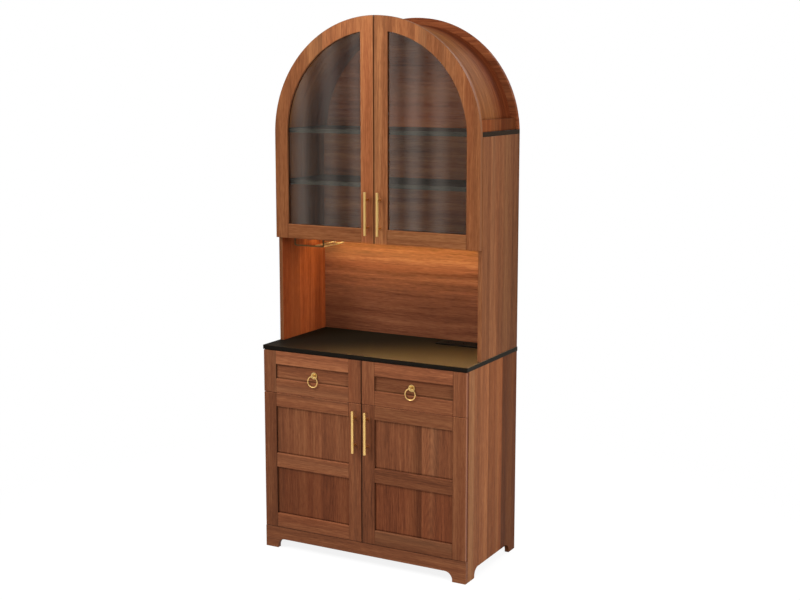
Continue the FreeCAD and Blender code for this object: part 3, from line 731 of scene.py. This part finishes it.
class Grown(Nodes):
    """A Geometry Nodes tree with named inputs."""

    def __init__(self, name, **inputs):
        super().__init__(bpy.data.node_groups.new(name, "GeometryNodeTree"))
        self.inputs = inputs
        face = self.tree.interface
        face.new_socket("Start", in_out="INPUT", socket_type="NodeSocketGeometry")
        for label, value in inputs.items():
            kind = next(k for t, k in INPUT_KINDS.items() if isinstance(value, t))
            face.new_socket(label, in_out="INPUT", socket_type=kind)
        face.new_socket("Piece", in_out="OUTPUT", socket_type="NodeSocketGeometry")
        self.start = self.node("NodeGroupInput", out="Start")

    def finish_with(self, shape):
        """End the tree."""
        solid = self.node("GeometryNodeRealizeInstances", None, {"Geometry": shape})
        material = self.start.out("Finish")
        solid = self.node("GeometryNodeSetMaterial", None, {"Geometry": solid, "Material": material})
        self.node("NodeGroupOutput", None, {"Piece": solid})

    def piece(self, name, start=None, **changes):
        """Run the tree, with some inputs changed, and keep the outcome as a plain mesh."""
        grown = bpy.data.objects.new(name, start or bpy.data.meshes.new(name))
        bpy.context.scene.collection.objects.link(grown)
        modifier = grown.modifiers.new("grow", "NODES")
        modifier.node_group = self.tree
        values = {**self.inputs, **changes}
        for item in self.tree.interface.items_tree:
            if item.name in values:
                modifier[item.identifier] = values[item.name]
        ready = grown.evaluated_get(bpy.context.evaluated_depsgraph_get())
        mesh = bpy.data.meshes.new_from_object(ready)
        grown.modifiers.remove(modifier)
        grown.data = mesh
        print(name, "has", len(mesh.polygons), "faces")
        return grown


print("Geometry Nodes helper ready")

# %% [markdown]
# ## The bent roof
# The roof is one thin board, bent over the arch. It could be a slice of a tube, but then its grain would run
# in straight lines through the bend. In the workshop a flat board is wetted and pulled round a former, so
# that is what the tree does: it starts with a flat board, notes how far along it each point lies, and wraps
# it round the arch. The note, kept as an attribute, lets the grain follow the bend. The roof is painted pale
# in front, as painted light, and runs into a painted red-brown shade at the back, beside the arched back's rim.

# %% Bent roof
ROOF_THICKNESS = 0.010
ROOF_SEGMENTS = 97
roof_low, roof_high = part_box("bent_roof")
# The roof's painted light in front and painted shade at the back: where the shade starts and ends, and the
# tints
SHADE_PAINT_START = 0.03
SHADE_PAINT_FULL = 0.14
PAINTED_LIT_TINT = (1.04, 1.07, 0.76)
PAINTED_SHADE_TINT = (0.57, 0.39, 0.3)
ROOF_SEED = 12.0
ROOF_TONE = 1.07


def roof_walnut(name):
    """Walnut whose grain follows the bend, with painted light in front and painted shade at the back."""
    finish, x, y, z = started(name)
    along = finish.node("ShaderNodeAttribute", {"attribute_name": "along"}, None, "Fac")
    # painted light in front, painted shade towards the back
    tint = finish.blend(finish.ramp(y, SHADE_PAINT_START, SHADE_PAINT_FULL), PAINTED_LIT_TINT, PAINTED_SHADE_TINT)
    return finish.surface(walnut_parts(finish, y, along, 0.0, ROOF_SEED, ROOF_TONE, tint, 0.0, MATT_GLOSS))


def roof_tree():
    tree = Grown("bent_board", Radius=ROOF_RADIUS, Thickness=ROOF_THICKNESS,
                 Front=roof_low.y, Back=roof_high.y, Centre=ARCH_CENTRE, Foot=roof_low.z,
                 Segments=ROOF_SEGMENTS, Finish=roof_walnut("walnut_roof"))
    get = tree.start.out
    radius, thick, front, back = get("Radius"), get("Thickness"), get("Front"), get("Back")
    rise = (get("Foot") - get("Centre")) / (radius + thick / 2)
    length = radius * tree.calc("ARCCOSINE", rise) * 2
    board = tree.node("GeometryNodeMeshCube", None, {
        "Size": tree.vector(length, back - front, thick), "Vertices X": get("Segments"),
        "Vertices Y": 2, "Vertices Z": 2,
    }, "Mesh")
    x, y, z = tree.parts(tree.node("GeometryNodeInputPosition"))
    board = tree.node("GeometryNodeStoreNamedAttribute", {"data_type": "FLOAT", "domain": "POINT"}, {
        "Geometry": board, "Name": "along", "Value": x,
    })
    angle = x / radius
    bent_x = (radius + z) * tree.calc("SINE", angle)
    bent_z = tree.calc("MAXIMUM", (radius + z) * tree.calc("COSINE", angle) + get("Centre"), get("Foot"))
    bent = tree.vector(bent_x, y + (front + back) / 2, bent_z)
    tree.finish_with(tree.node("GeometryNodeSetPosition", None, {"Geometry": board, "Position": bent}))
    return tree


roof = roof_tree().piece("bent_roof_board")

# %% Roof edges
SHARP_ANGLE = math.radians(35)

roof.data.shade_smooth()
roof.data.set_sharp_from_angle(angle=SHARP_ANGLE)
rounding = roof.modifiers.new("rounding", "BEVEL")
rounding.width = 0.0008
rounding.segments = 2
rounding.limit_method = "ANGLE"
rounding.angle_limit = SHARP_ANGLE
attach(roof, "cabinet")
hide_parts("bent_roof")
print("roof edges rounded by", rounding.width)

# %% [markdown]
# ## Screws
# The back boards are screwed to the roof and to the rear edges of the level boards, and each hinge plate is
# screwed to its side. A screw's head is a low dome with a cross cut into it. One head is modelled from listed
# points: a plus has twelve corners, so twelve points on the rim meet it one to one. A tree then sets heads
# along the paths it is given, evenly spaced, each turned by a random amount, as a screwdriver leaves them.

# %% Screw head
CORNERS = 12
HEAD_RIM = 0.0034
HEAD_SHOULDER = 0.0031
HEAD_CROWN = 0.0023
SHOULDER_HEIGHT = 0.0006
CROWN_HEIGHT = 0.001
CROSS_REACH = 0.0018
CROSS_HALF = 0.00045
CROSS_FLOOR = 0.0003


def ring(radius, height):
    step = 360 / CORNERS
    turns = [math.radians(step * i - step / 2) for i in range(CORNERS)]
    return [(radius * math.cos(t), radius * math.sin(t), height) for t in turns]


def cross(height):
    corner = [(CROSS_REACH, -CROSS_HALF), (CROSS_REACH, CROSS_HALF), (CROSS_HALF, CROSS_HALF)]
    points = []
    for quarter in range(4):
        c, s = round(math.cos(quarter * math.pi / 2)), round(math.sin(quarter * math.pi / 2))
        points += [(c * x - s * y, s * x + c * y, height) for x, y in corner]
    return points


def screw_head():
    """Five rings of twelve points, joined by strips of faces, and the floor of the cross."""
    rings = [
        ring(HEAD_RIM, 0), ring(HEAD_SHOULDER, SHOULDER_HEIGHT), ring(HEAD_CROWN, CROWN_HEIGHT),
        cross(CROWN_HEIGHT), cross(CROSS_FLOOR),
    ]
    faces = []
    for low in range(0, CORNERS * (len(rings) - 1), CORNERS):
        for i in range(CORNERS):
            j = (i + 1) % CORNERS
            faces.append((low + i, low + j, low + CORNERS + j, low + CORNERS + i))
    last = CORNERS * (len(rings) - 1)
    faces.append(tuple(range(last, last + CORNERS)))
    mesh = bpy.data.meshes.new("screw_head")
    mesh.from_pydata([p for r in rings for p in r], [], faces)
    return bpy.data.objects.new("screw_head", mesh)


head = screw_head()
print("one head has", len(head.data.polygons), "faces")

# %% Screw tree
BACK_SPACING = 0.11
SCREW_SEED = 5


def zinc(name):
    finish = Finish(name)
    patch = finish.noise(finish.place(), scale=300.0, detail=3.0, roughness=0.6)
    return finish.surface({
        "Base Color": finish.blend(patch, srgb(150, 148, 140), srgb(196, 194, 186)), "Metallic": 1.0,
        "Roughness": 0.3 + patch * 0.25, "Normal": finish.bump(patch, strength=0.1, distance=0.0001),
    })


def screw_tree():
    tree = Grown("screw_rows", Spacing=BACK_SPACING, Facing=(0.0, 1.0, 0.0), Seed=SCREW_SEED, Head=head,
                 Finish=zinc("zinc_screws"))
    get = tree.start.out
    path = tree.node("GeometryNodeMeshToCurve", None, {"Mesh": tree.start})
    spots = tree.node("GeometryNodeResampleCurve", {"mode": "LENGTH"}, {
        "Curve": path, "Length": get("Spacing")})
    twist = tree.node("FunctionNodeRandomValue", None, {
        "Min": 0.0, "Max": math.pi, "Seed": get("Seed")}, "Value")
    turned = tree.node("FunctionNodeAxisAngleToRotation", None, {"Axis": (0.0, 0.0, 1.0), "Angle": twist})
    upright = tree.node("FunctionNodeAlignRotationToVector", {"axis": "Z"}, {"Vector": get("Facing")})
    aimed = tree.node("FunctionNodeRotateRotation", {"rotation_space": "LOCAL"}, {
        "Rotation": upright, "Rotate By": turned})
    shape = tree.node("GeometryNodeObjectInfo", None, {"Object": get("Head")}, "Geometry")
    tree.finish_with(tree.node("GeometryNodeInstanceOnPoints", None, {
        "Points": spots, "Instance": shape, "Rotation": aimed}))
    return tree


screws = screw_tree()
print("screw tree has", len(screws.tree.nodes), "nodes")

# %% Screw rows
BACK_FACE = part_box("hutch_back_panel")[1].y
ROW_REACH = 0.35
ARCH_STEP = 6
ARCH_STEPS = 14
PLATE_FACE = 0.381
PLATE_SPACING = 0.022
PLATE_SCREWS = (0.013, 0.035)
PLATE_HEIGHTS = {"lower_side_right": (0.159, 0.4875), "hutch_side_right": (1.168, 1.430)}


def paths(name, lines):
    """A mesh of edges only, one chain for each line of points."""
    mesh = bpy.data.meshes.new(name)
    points = [p for line in lines for p in line]
    edges, at = [], 0
    for line in lines:
        edges += [(at + i, at + i + 1) for i in range(len(line) - 1)]
        at += len(line)
    mesh.from_pydata(points, edges, [])
    return mesh


def back_lines():
    """The arch, and a row behind each level board."""
    arch = []
    for step in range(-ARCH_STEPS, ARCH_STEPS + 1):
        lean = math.radians(ARCH_STEP * step)
        arch.append((ROOF_RADIUS * math.sin(lean), BACK_FACE, ARCH_CENTRE + ROOF_RADIUS * math.cos(lean)))
    lines = [arch]
    for board in ("lower_bottom_board", "drawer_deck", "hutch_floor"):
        low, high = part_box(board)
        z = (low.z + high.z) / 2
        lines.append([(-ROW_REACH, BACK_FACE, z), (ROW_REACH, BACK_FACE, z)])
    return lines


def plate_lines(side):
    """Two screws on each hinge plate of one side."""
    lines = []
    for board, heights in PLATE_HEIGHTS.items():
        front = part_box(board)[0].y
        for z in heights:
            lines.append([(side * PLATE_FACE, front + back, z) for back in PLATE_SCREWS])
    return lines


screw_pieces = [screws.piece("back_screws", paths("back_lines", back_lines()))]
for label, side in (("left", -1.0), ("right", 1.0)):
    lines = paths(f"{label}_lines", plate_lines(side))
    facing = (-side, 0.0, 0.0)
    screw_pieces.append(screws.piece(f"hinge_screws_{label}", lines, Spacing=PLATE_SPACING, Facing=facing))
bpy.data.objects.remove(head)
for rows in screw_pieces:
    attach(rows, "cabinet")

# %% [markdown]
# ## Black boards
# The countertop, the shelf and the board at the spring of the arch are black laminate with a fine leathery
# texture. The shelves are matt, with a paler front edge. The countertop has slightly paler side edges, and a
# painted sheen on top: a second, glossier surface with a warm tint, mixed in by place so that it grows towards
# its front right corner, as a painted reflection of the light strip.

# %% Black laminate
PALE_EDGE = srgb(50, 47, 41)
SHELF_DARK = srgb(36, 27, 19)
SHELF_LIGHT = srgb(48, 37, 27)
COUNTER_DARK = srgb(20, 17, 14)
COUNTER_LIGHT = srgb(30, 25, 20)
LAMINATE_GLOSS = 0.015
SIDE_BAND = 0.0015
SIDE_PALENESS = 0.5
TOP_MARGIN = 0.0004
# The painted sheen: a glossier surface with a warm tint, and where it grows
SHEEN_IOR = 1.9
SHEEN_TINT = (1.0, 0.58, 0.22, 1.0)
SHEEN_SLANT = 1.6
SHEEN_STEP = (-0.25, 0.72)


def laminate_parts(finish, place, low, high, pale):
    """The sockets of black laminate, from a mask of where it is paler."""
    pebble = finish.noise(place, scale=900.0, roughness=0.6)
    cloud = finish.noise(place, scale=9.0, detail=3.0, roughness=0.55)
    return {
        "Base Color": finish.blend(pale, finish.blend(cloud, low, high), PALE_EDGE),
        "Normal": finish.bump(pebble, strength=0.25, distance=0.0003),
        "Roughness": 0.55 + (pebble - 0.5) * 0.12 + (cloud - 0.5) * 0.08,
        "Specular IOR Level": LAMINATE_GLOSS,
    }


def black_shelf(name, front):
    """Matt laminate with a paler front edge."""
    finish = Finish(name)
    place = finish.place()
    x, y, z = finish.parts(place)
    return finish.surface(laminate_parts(finish, place, SHELF_DARK, SHELF_LIGHT, y < front + FACE_MARGIN))


def black_counter(name, corner):
    """Laminate with paler side edges, and a painted sheen on its top."""
    finish = Finish(name)
    place = finish.place()
    x, y, z = finish.parts(place)
    pale = (abs(x) > corner.x - SIDE_BAND) * SIDE_PALENESS
    matt = laminate_parts(finish, place, COUNTER_DARK, COUNTER_LIGHT, pale)
    sheen = {**matt, "IOR": SHEEN_IOR, "Specular IOR Level": 1.0, "Specular Tint": SHEEN_TINT}
    # painted sheen: where the glossier surface is mixed in, growing towards the front right corner
    painted_sheen = (z > corner.z - TOP_MARGIN) * finish.ramp(x - y * SHEEN_SLANT, *SHEEN_STEP)
    layers = [finish.node("ShaderNodeBsdfPrincipled", None, sockets) for sockets in (matt, sheen)]
    return finish.done(finish.node("ShaderNodeMixShader", None, {0: painted_sheen, 1: layers[0], 2: layers[1]}))


dress(black_counter("black_counter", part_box("countertop")[1]), "countertop")
dress(black_shelf("black_shelf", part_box("middle_shelf")[0].y), "middle_shelf")
dress(black_shelf("black_spring_board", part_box("spring_board")[0].y), "spring_board")
print("black laminate on 3 boards")

# %% [markdown]
# ## Gold fittings
# Handles, rings and the stemware rack are plated in a satin gold with fine brush marks. The plates and posts
# that hold the rings are duller. The rack's wires are pale gold; its front bar is painted dark, as painted
# shade.

# %% Satin gold
# The painted shade on the rack's front bar: its colour, how much of it, and where the bar ends
BAR_PAINTED_SHADE = srgb(40, 22, 9)
BAR_SHADE_SHARE = 0.95
RACK_BAR_END = -0.055
WIRE_METAL = 0.4
BRUSHING = (1500, 60)
SIDES = ("left", "right")
DOORS = [f"{level}_{side}_door" for level in ("upper", "lower") for side in SIDES]


def satin_gold(name, low, high, shine, metal=1.0, shade_before=None):
    """Gold, which may be painted dark in front of a given place, as painted shade."""
    finish = Finish(name)
    place = finish.place()
    x, y, z = finish.parts(place)
    brushed = finish.grain(place, BRUSHING)
    colour = finish.blend(finish.noise(place, scale=60.0), low, high)
    if shade_before is not None:
        # painted shade on the rack's front bar
        colour = finish.blend((y < shade_before) * BAR_SHADE_SHARE, colour, BAR_PAINTED_SHADE)
    return finish.surface({
        "Base Color": colour, "Metallic": metal, "Specular IOR Level": 0.1,
        "Roughness": shine + (brushed - 0.5) * 0.16,
        "Normal": finish.bump(brushed, strength=0.15, distance=0.0002),
    })


gold = satin_gold("satin_gold", srgb(226, 184, 114), srgb(240, 200, 128), 0.4)
plates = satin_gold("gold_plates", srgb(206, 172, 108), srgb(222, 190, 124), 0.5)
wire = satin_gold("gold_wire", srgb(250, 212, 140), srgb(254, 224, 158), 0.5, WIRE_METAL, RACK_BAR_END)
dress(gold, *[f"{door}_handle" for door in DOORS], *[f"{side}_drawer_ring" for side in SIDES])
dress(plates, *[f"{side}_drawer_pull_stem" for side in SIDES])
dress(wire, "stemware_rack")
print("gold on the handles, pulls and rack")

# %% [markdown]
# ## Smoked glass
# The panes are a faintly smoked glass: the shelves and the back board show through, dimmed. A lamp's light
# can't pass through refracting glass without costly sampling, so for shadow rays the same pane is plain
# see-through.

# %% Smoked glass
GLASS_IOR = 1.4
GLASS_TINT = (1.0, 0.9, 0.8, 1.0)
HAZE = (14, 0.6)


def smoked_glass(name, low, high):
    finish = Finish(name)
    haze = finish.grain(finish.place(), HAZE)
    glass = finish.node("ShaderNodeBsdfPrincipled", None, {
        "Base Color": finish.blend(haze, low, high), "Roughness": 0.0, "IOR": GLASS_IOR,
        "Transmission Weight": 1.0, "Specular Tint": GLASS_TINT,
    })
    clear = finish.node("ShaderNodeBsdfTransparent", None, {"Color": (*high, 1)})
    shadow = finish.node("ShaderNodeLightPath", out="Is Shadow Ray")
    return finish.done(finish.node("ShaderNodeMixShader", None, {0: shadow, 1: glass, 2: clear}))


dress(smoked_glass("smoked_glass", srgb(213, 213, 211), srgb(220, 220, 218)),
      "upper_left_door_glass", "upper_right_door_glass")
print("glass in 2 doors")

# %% [markdown]
# ## Light strip
# A warm strip under the hutch floor lights the open niche. Behind its cover sits a row of small lamps, so the
# cover glows a little yellower between them.

# %% Light strip
HALF_PITCH = 0.008
STRIP_GLOW = 50.0
GLOW_AT_LAMP = (1.0, 0.92, 0.5)
GLOW_BETWEEN = (1.0, 0.88, 0.42)


def glowing_cover(name):
    finish, x, y, z = started(name)
    between = finish.calc("PINGPONG", x, HALF_PITCH) / HALF_PITCH
    return finish.surface({
        "Base Color": finish.blend(between, srgb(250, 232, 200), srgb(244, 220, 180)), "Roughness": 0.5,
        "Emission Color": finish.blend(between, GLOW_AT_LAMP, GLOW_BETWEEN), "Emission Strength": STRIP_GLOW,
    })


dress(glowing_cover("glowing_cover"), "light_diffuser")
print("light strip glows")

# %% [markdown]
# ## Small fittings
# Steel, aluminium, plastic, rubber and the drawers' pale board are seen mostly when the doors stand open.

# %% Finishes of small fittings
METAL_LINES = (40, 1200)
WOOD_LINES = (4, 160)


def brushed_metal(name, low, high, shine):
    finish = Finish(name)
    lines = finish.grain(finish.place(), METAL_LINES)
    return finish.surface({
        "Base Color": finish.blend(lines, low, high), "Metallic": 1.0,
        "Roughness": shine + (lines - 0.5) * 0.2,
        "Normal": finish.bump(lines, strength=0.1, distance=0.0002),
    })


def grained_plastic(name, low, high, shine):
    finish = Finish(name)
    place = finish.place()
    sand = finish.noise(place, scale=1600.0, roughness=0.6)
    cloud = finish.noise(place, scale=30.0)
    return finish.surface({
        "Base Color": finish.blend(cloud, low, high), "Roughness": shine + (sand - 0.5) * 0.2,
        "Normal": finish.bump(sand, strength=0.2, distance=0.0002), "Specular IOR Level": 0.05,
    })


def plain_wood(name, low, high, shine):
    finish = Finish(name)
    lines = finish.grain(finish.place(), WOOD_LINES, detail=3.0, roughness=0.6)
    return finish.surface({
        "Base Color": finish.blend(lines, low, high), "Roughness": shine + (lines - 0.5) * 0.1,
        "Normal": finish.bump(lines, strength=0.1, distance=0.0003),
    })


print("finishes of small fittings ready")

# %% Small fittings
steel = brushed_metal("zinc_steel", srgb(170, 172, 176), srgb(200, 201, 204), 0.36)
dress(steel, "hinge_arms", "runner_rails", "shelf_pegs", "left_drawer_sliders", "right_drawer_sliders",
      *[f"{door}_hinge_pins" for door in DOORS])
dress(brushed_metal("anodised", srgb(186, 187, 189), srgb(206, 207, 208), 0.4), "light_channel")
plastic = grained_plastic("black_plastic", srgb(15, 13, 11), srgb(21, 18, 15), 0.5)
dress(plastic, "power_strip_body", "power_strip_sockets", "magnet_catches")
rubber = grained_plastic("black_rubber", srgb(22, 22, 22), srgb(32, 31, 30), 0.75)
dress(rubber, "cord_grommet", "upper_left_door_glass_bead", "upper_right_door_glass_bead")
drawer_board = plain_wood("drawer_board", srgb(176, 138, 100), srgb(200, 166, 128), 0.55)
dress(drawer_board, "left_drawer_box", "right_drawer_box")
dress(plain_wood("beech", srgb(200, 168, 126), srgb(218, 190, 150), 0.6), "carcass_dowels")
print("small fittings dressed")

# %% [markdown]
# ## The studio
# The cabinet stands on a plain white floor. The background is full white only to the camera, straight or
# through glass. To other rays it is a dim dome, which gives an even fill light. To the camera the floor keeps
# a soft shadow near the cabinet, and further out it fades into the white of the background. To other rays it
# is a plain grey, brighter in reflections.

# %% Floor and dome
FLOOR_HALF = 40.0
FADE_START = 0.5
FADE_END = 1.7
SHADOW_SHARE = 0.17
NEAR_WHITE = 0.86
BOUNCE = 0.25
MIRRORED_BOUNCE = 0.62
MIRRORED_WHITE = 0.3
DOME = 0.34
MIRRORED_DOME = 0.55


def grey(level):
    return (level, level, level)


def seen_directly(tree):
    """1 for rays from the camera, straight or through glass, and 0 for rays that carry light."""
    camera_ray = tree.node("ShaderNodeLightPath", out="Is Camera Ray")
    return tree.calc("MAXIMUM", camera_ray, camera_ray.out("Is Transmission Ray"))


def stage_sheet(name, corners, material):
    """A flat rectangle that isn't part of the cabinet."""
    mesh = bpy.data.meshes.new(name)
    mesh.from_pydata(corners, [], [(0, 1, 2, 3)])
    mesh.materials.append(material)
    sheet = bpy.data.objects.new(name, mesh)
    bpy.context.scene.collection.objects.link(sheet)
    return sheet


def studio_floor():
    finish = Finish("studio_floor")
    seen = seen_directly(finish)
    mirrored = finish.node("ShaderNodeLightPath", out="Is Glossy Ray")
    away = finish.node("ShaderNodeVectorMath", {"operation": "LENGTH"}, {0: finish.place()}, "Value")
    far = finish.ramp(away, FADE_START, FADE_END)
    unseen_colour = finish.blend(mirrored, grey(BOUNCE), grey(MIRRORED_BOUNCE))
    colour = finish.blend(seen, unseen_colour, finish.blend(far, grey(SHADOW_SHARE), grey(0)))
    unseen_white = finish.blend(mirrored, grey(0), grey(MIRRORED_WHITE))
    white = finish.blend(seen, unseen_white, finish.blend(far, grey(NEAR_WHITE), grey(1)))
    diffuse = finish.node("ShaderNodeBsdfDiffuse", None, {"Color": colour})
    glow = finish.node("ShaderNodeEmission", None, {"Color": white})
    material = finish.done(finish.node("ShaderNodeAddShader", None, {0: diffuse, 1: glow}))
    half = FLOOR_HALF
    corners = [(-half, -half, 0), (half, -half, 0), (half, half, 0), (-half, half, 0)]
    stage_sheet("studio_floor", corners, material)


def studio_dome():
    world = bpy.data.worlds.new("studio_dome")
    world.use_nodes = True
    bpy.context.scene.world = world
    dome = Nodes(world.node_tree)
    mirrored = dome.node("ShaderNodeLightPath", out="Is Glossy Ray")
    strength = DOME + seen_directly(dome) * (1.0 - DOME) + mirrored * (MIRRORED_DOME - DOME)
    sky = dome.node("ShaderNodeBackground", None, {"Color": (1, 1, 1, 1), "Strength": strength})
    dome.node("ShaderNodeOutputWorld", None, {"Surface": sky})


studio_floor()
studio_dome()
print("floor and dome ready")

# %% [markdown]
# ## Lamps
# A large soft box stands to the left of the camera, a smaller one to the right lights the side boards, a
# third lights the fronts, and one hangs overhead. The last, behind, is for views from the back. The two that
# light the side boards and the fronts are hidden from reflections.

# %% Lamps


def soft_box(name, place, aim, width, height, power, mirrored=True):
    lamp = bpy.data.lights.new(name, "AREA")
    lamp.shape = "RECTANGLE"
    lamp.size = width
    lamp.size_y = height
    lamp.energy = power
    box = bpy.data.objects.new(name, lamp)
    box.location = place
    box.rotation_euler = (Vector(place) - Vector(aim)).to_track_quat("Z", "Y").to_euler()
    box.visible_glossy = mirrored
    bpy.context.scene.collection.objects.link(box)


soft_box("key_left", (-1.8, -2.5, 3.0), (0, 0, 1.3), 1.4, 1.2, 92)
soft_box("fill_right", (2.1, -0.8, 1.3), (0.4, -0.1, 0.9), 0.9, 1.6, 40, False)
soft_box("top", (0.0, -0.4, 4.2), (0, 0, 0), 2.4, 2.4, 35)
soft_box("front", (0.3, -4.2, 0.9), (0, 0, 0.9), 1.6, 1.2, 36, False)
soft_box("back", (0.7, 3.4, 2.6), (0, 0.2, 1.0), 1.6, 1.6, 60)
bpy.context.scene.view_settings.view_transform = "Standard"
print("lamps ready")

# %% [markdown]
# ## Banded card
# The panes mirror soft upright bands, as a shop window mirrors a bright street. Narrow lamps could draw them,
# but they would light the cabinet too. A card far out to the left glows in bands, and only reflections show
# it.

# %% Banded card
CARD_LEFT = -3.0
CARD_RIGHT = -1.0
CARD_PLACE = -3.5
CARD_FOOT = 0.3
CARD_HEAD = 2.8
CARD_LEVEL = 0.18

# The middle of each band, its half width and its strength
CARD_BANDS = (
    (-2.49, 0.085, 1.5), (-2.28, 0.1, 1.4), (-2.08, 0.08, 1.4),
    (-1.84, 0.1, 1.75), (-1.67, 0.09, 1.9), (-1.49, 0.09, 1.4),
)


def banded_card():
    finish, x, y, z = started("striped_card")
    light = CARD_LEVEL
    for middle, half, strength in CARD_BANDS:
        light = light + finish.near(x - middle, half, 0.0) * strength
    glow = finish.node("ShaderNodeEmission", None, {"Color": finish.vector(light, light, light)})
    corners = [(CARD_LEFT, CARD_PLACE, CARD_HEAD), (CARD_RIGHT, CARD_PLACE, CARD_HEAD),
               (CARD_RIGHT, CARD_PLACE, CARD_FOOT), (CARD_LEFT, CARD_PLACE, CARD_FOOT)]
    card = stage_sheet("striped_card", corners, finish.done(glow))
    for ray in ("camera", "diffuse", "transmission", "shadow", "volume_scatter"):
        setattr(card, f"visible_{ray}", False)


banded_card()
print("card has", len(CARD_BANDS), "bands")
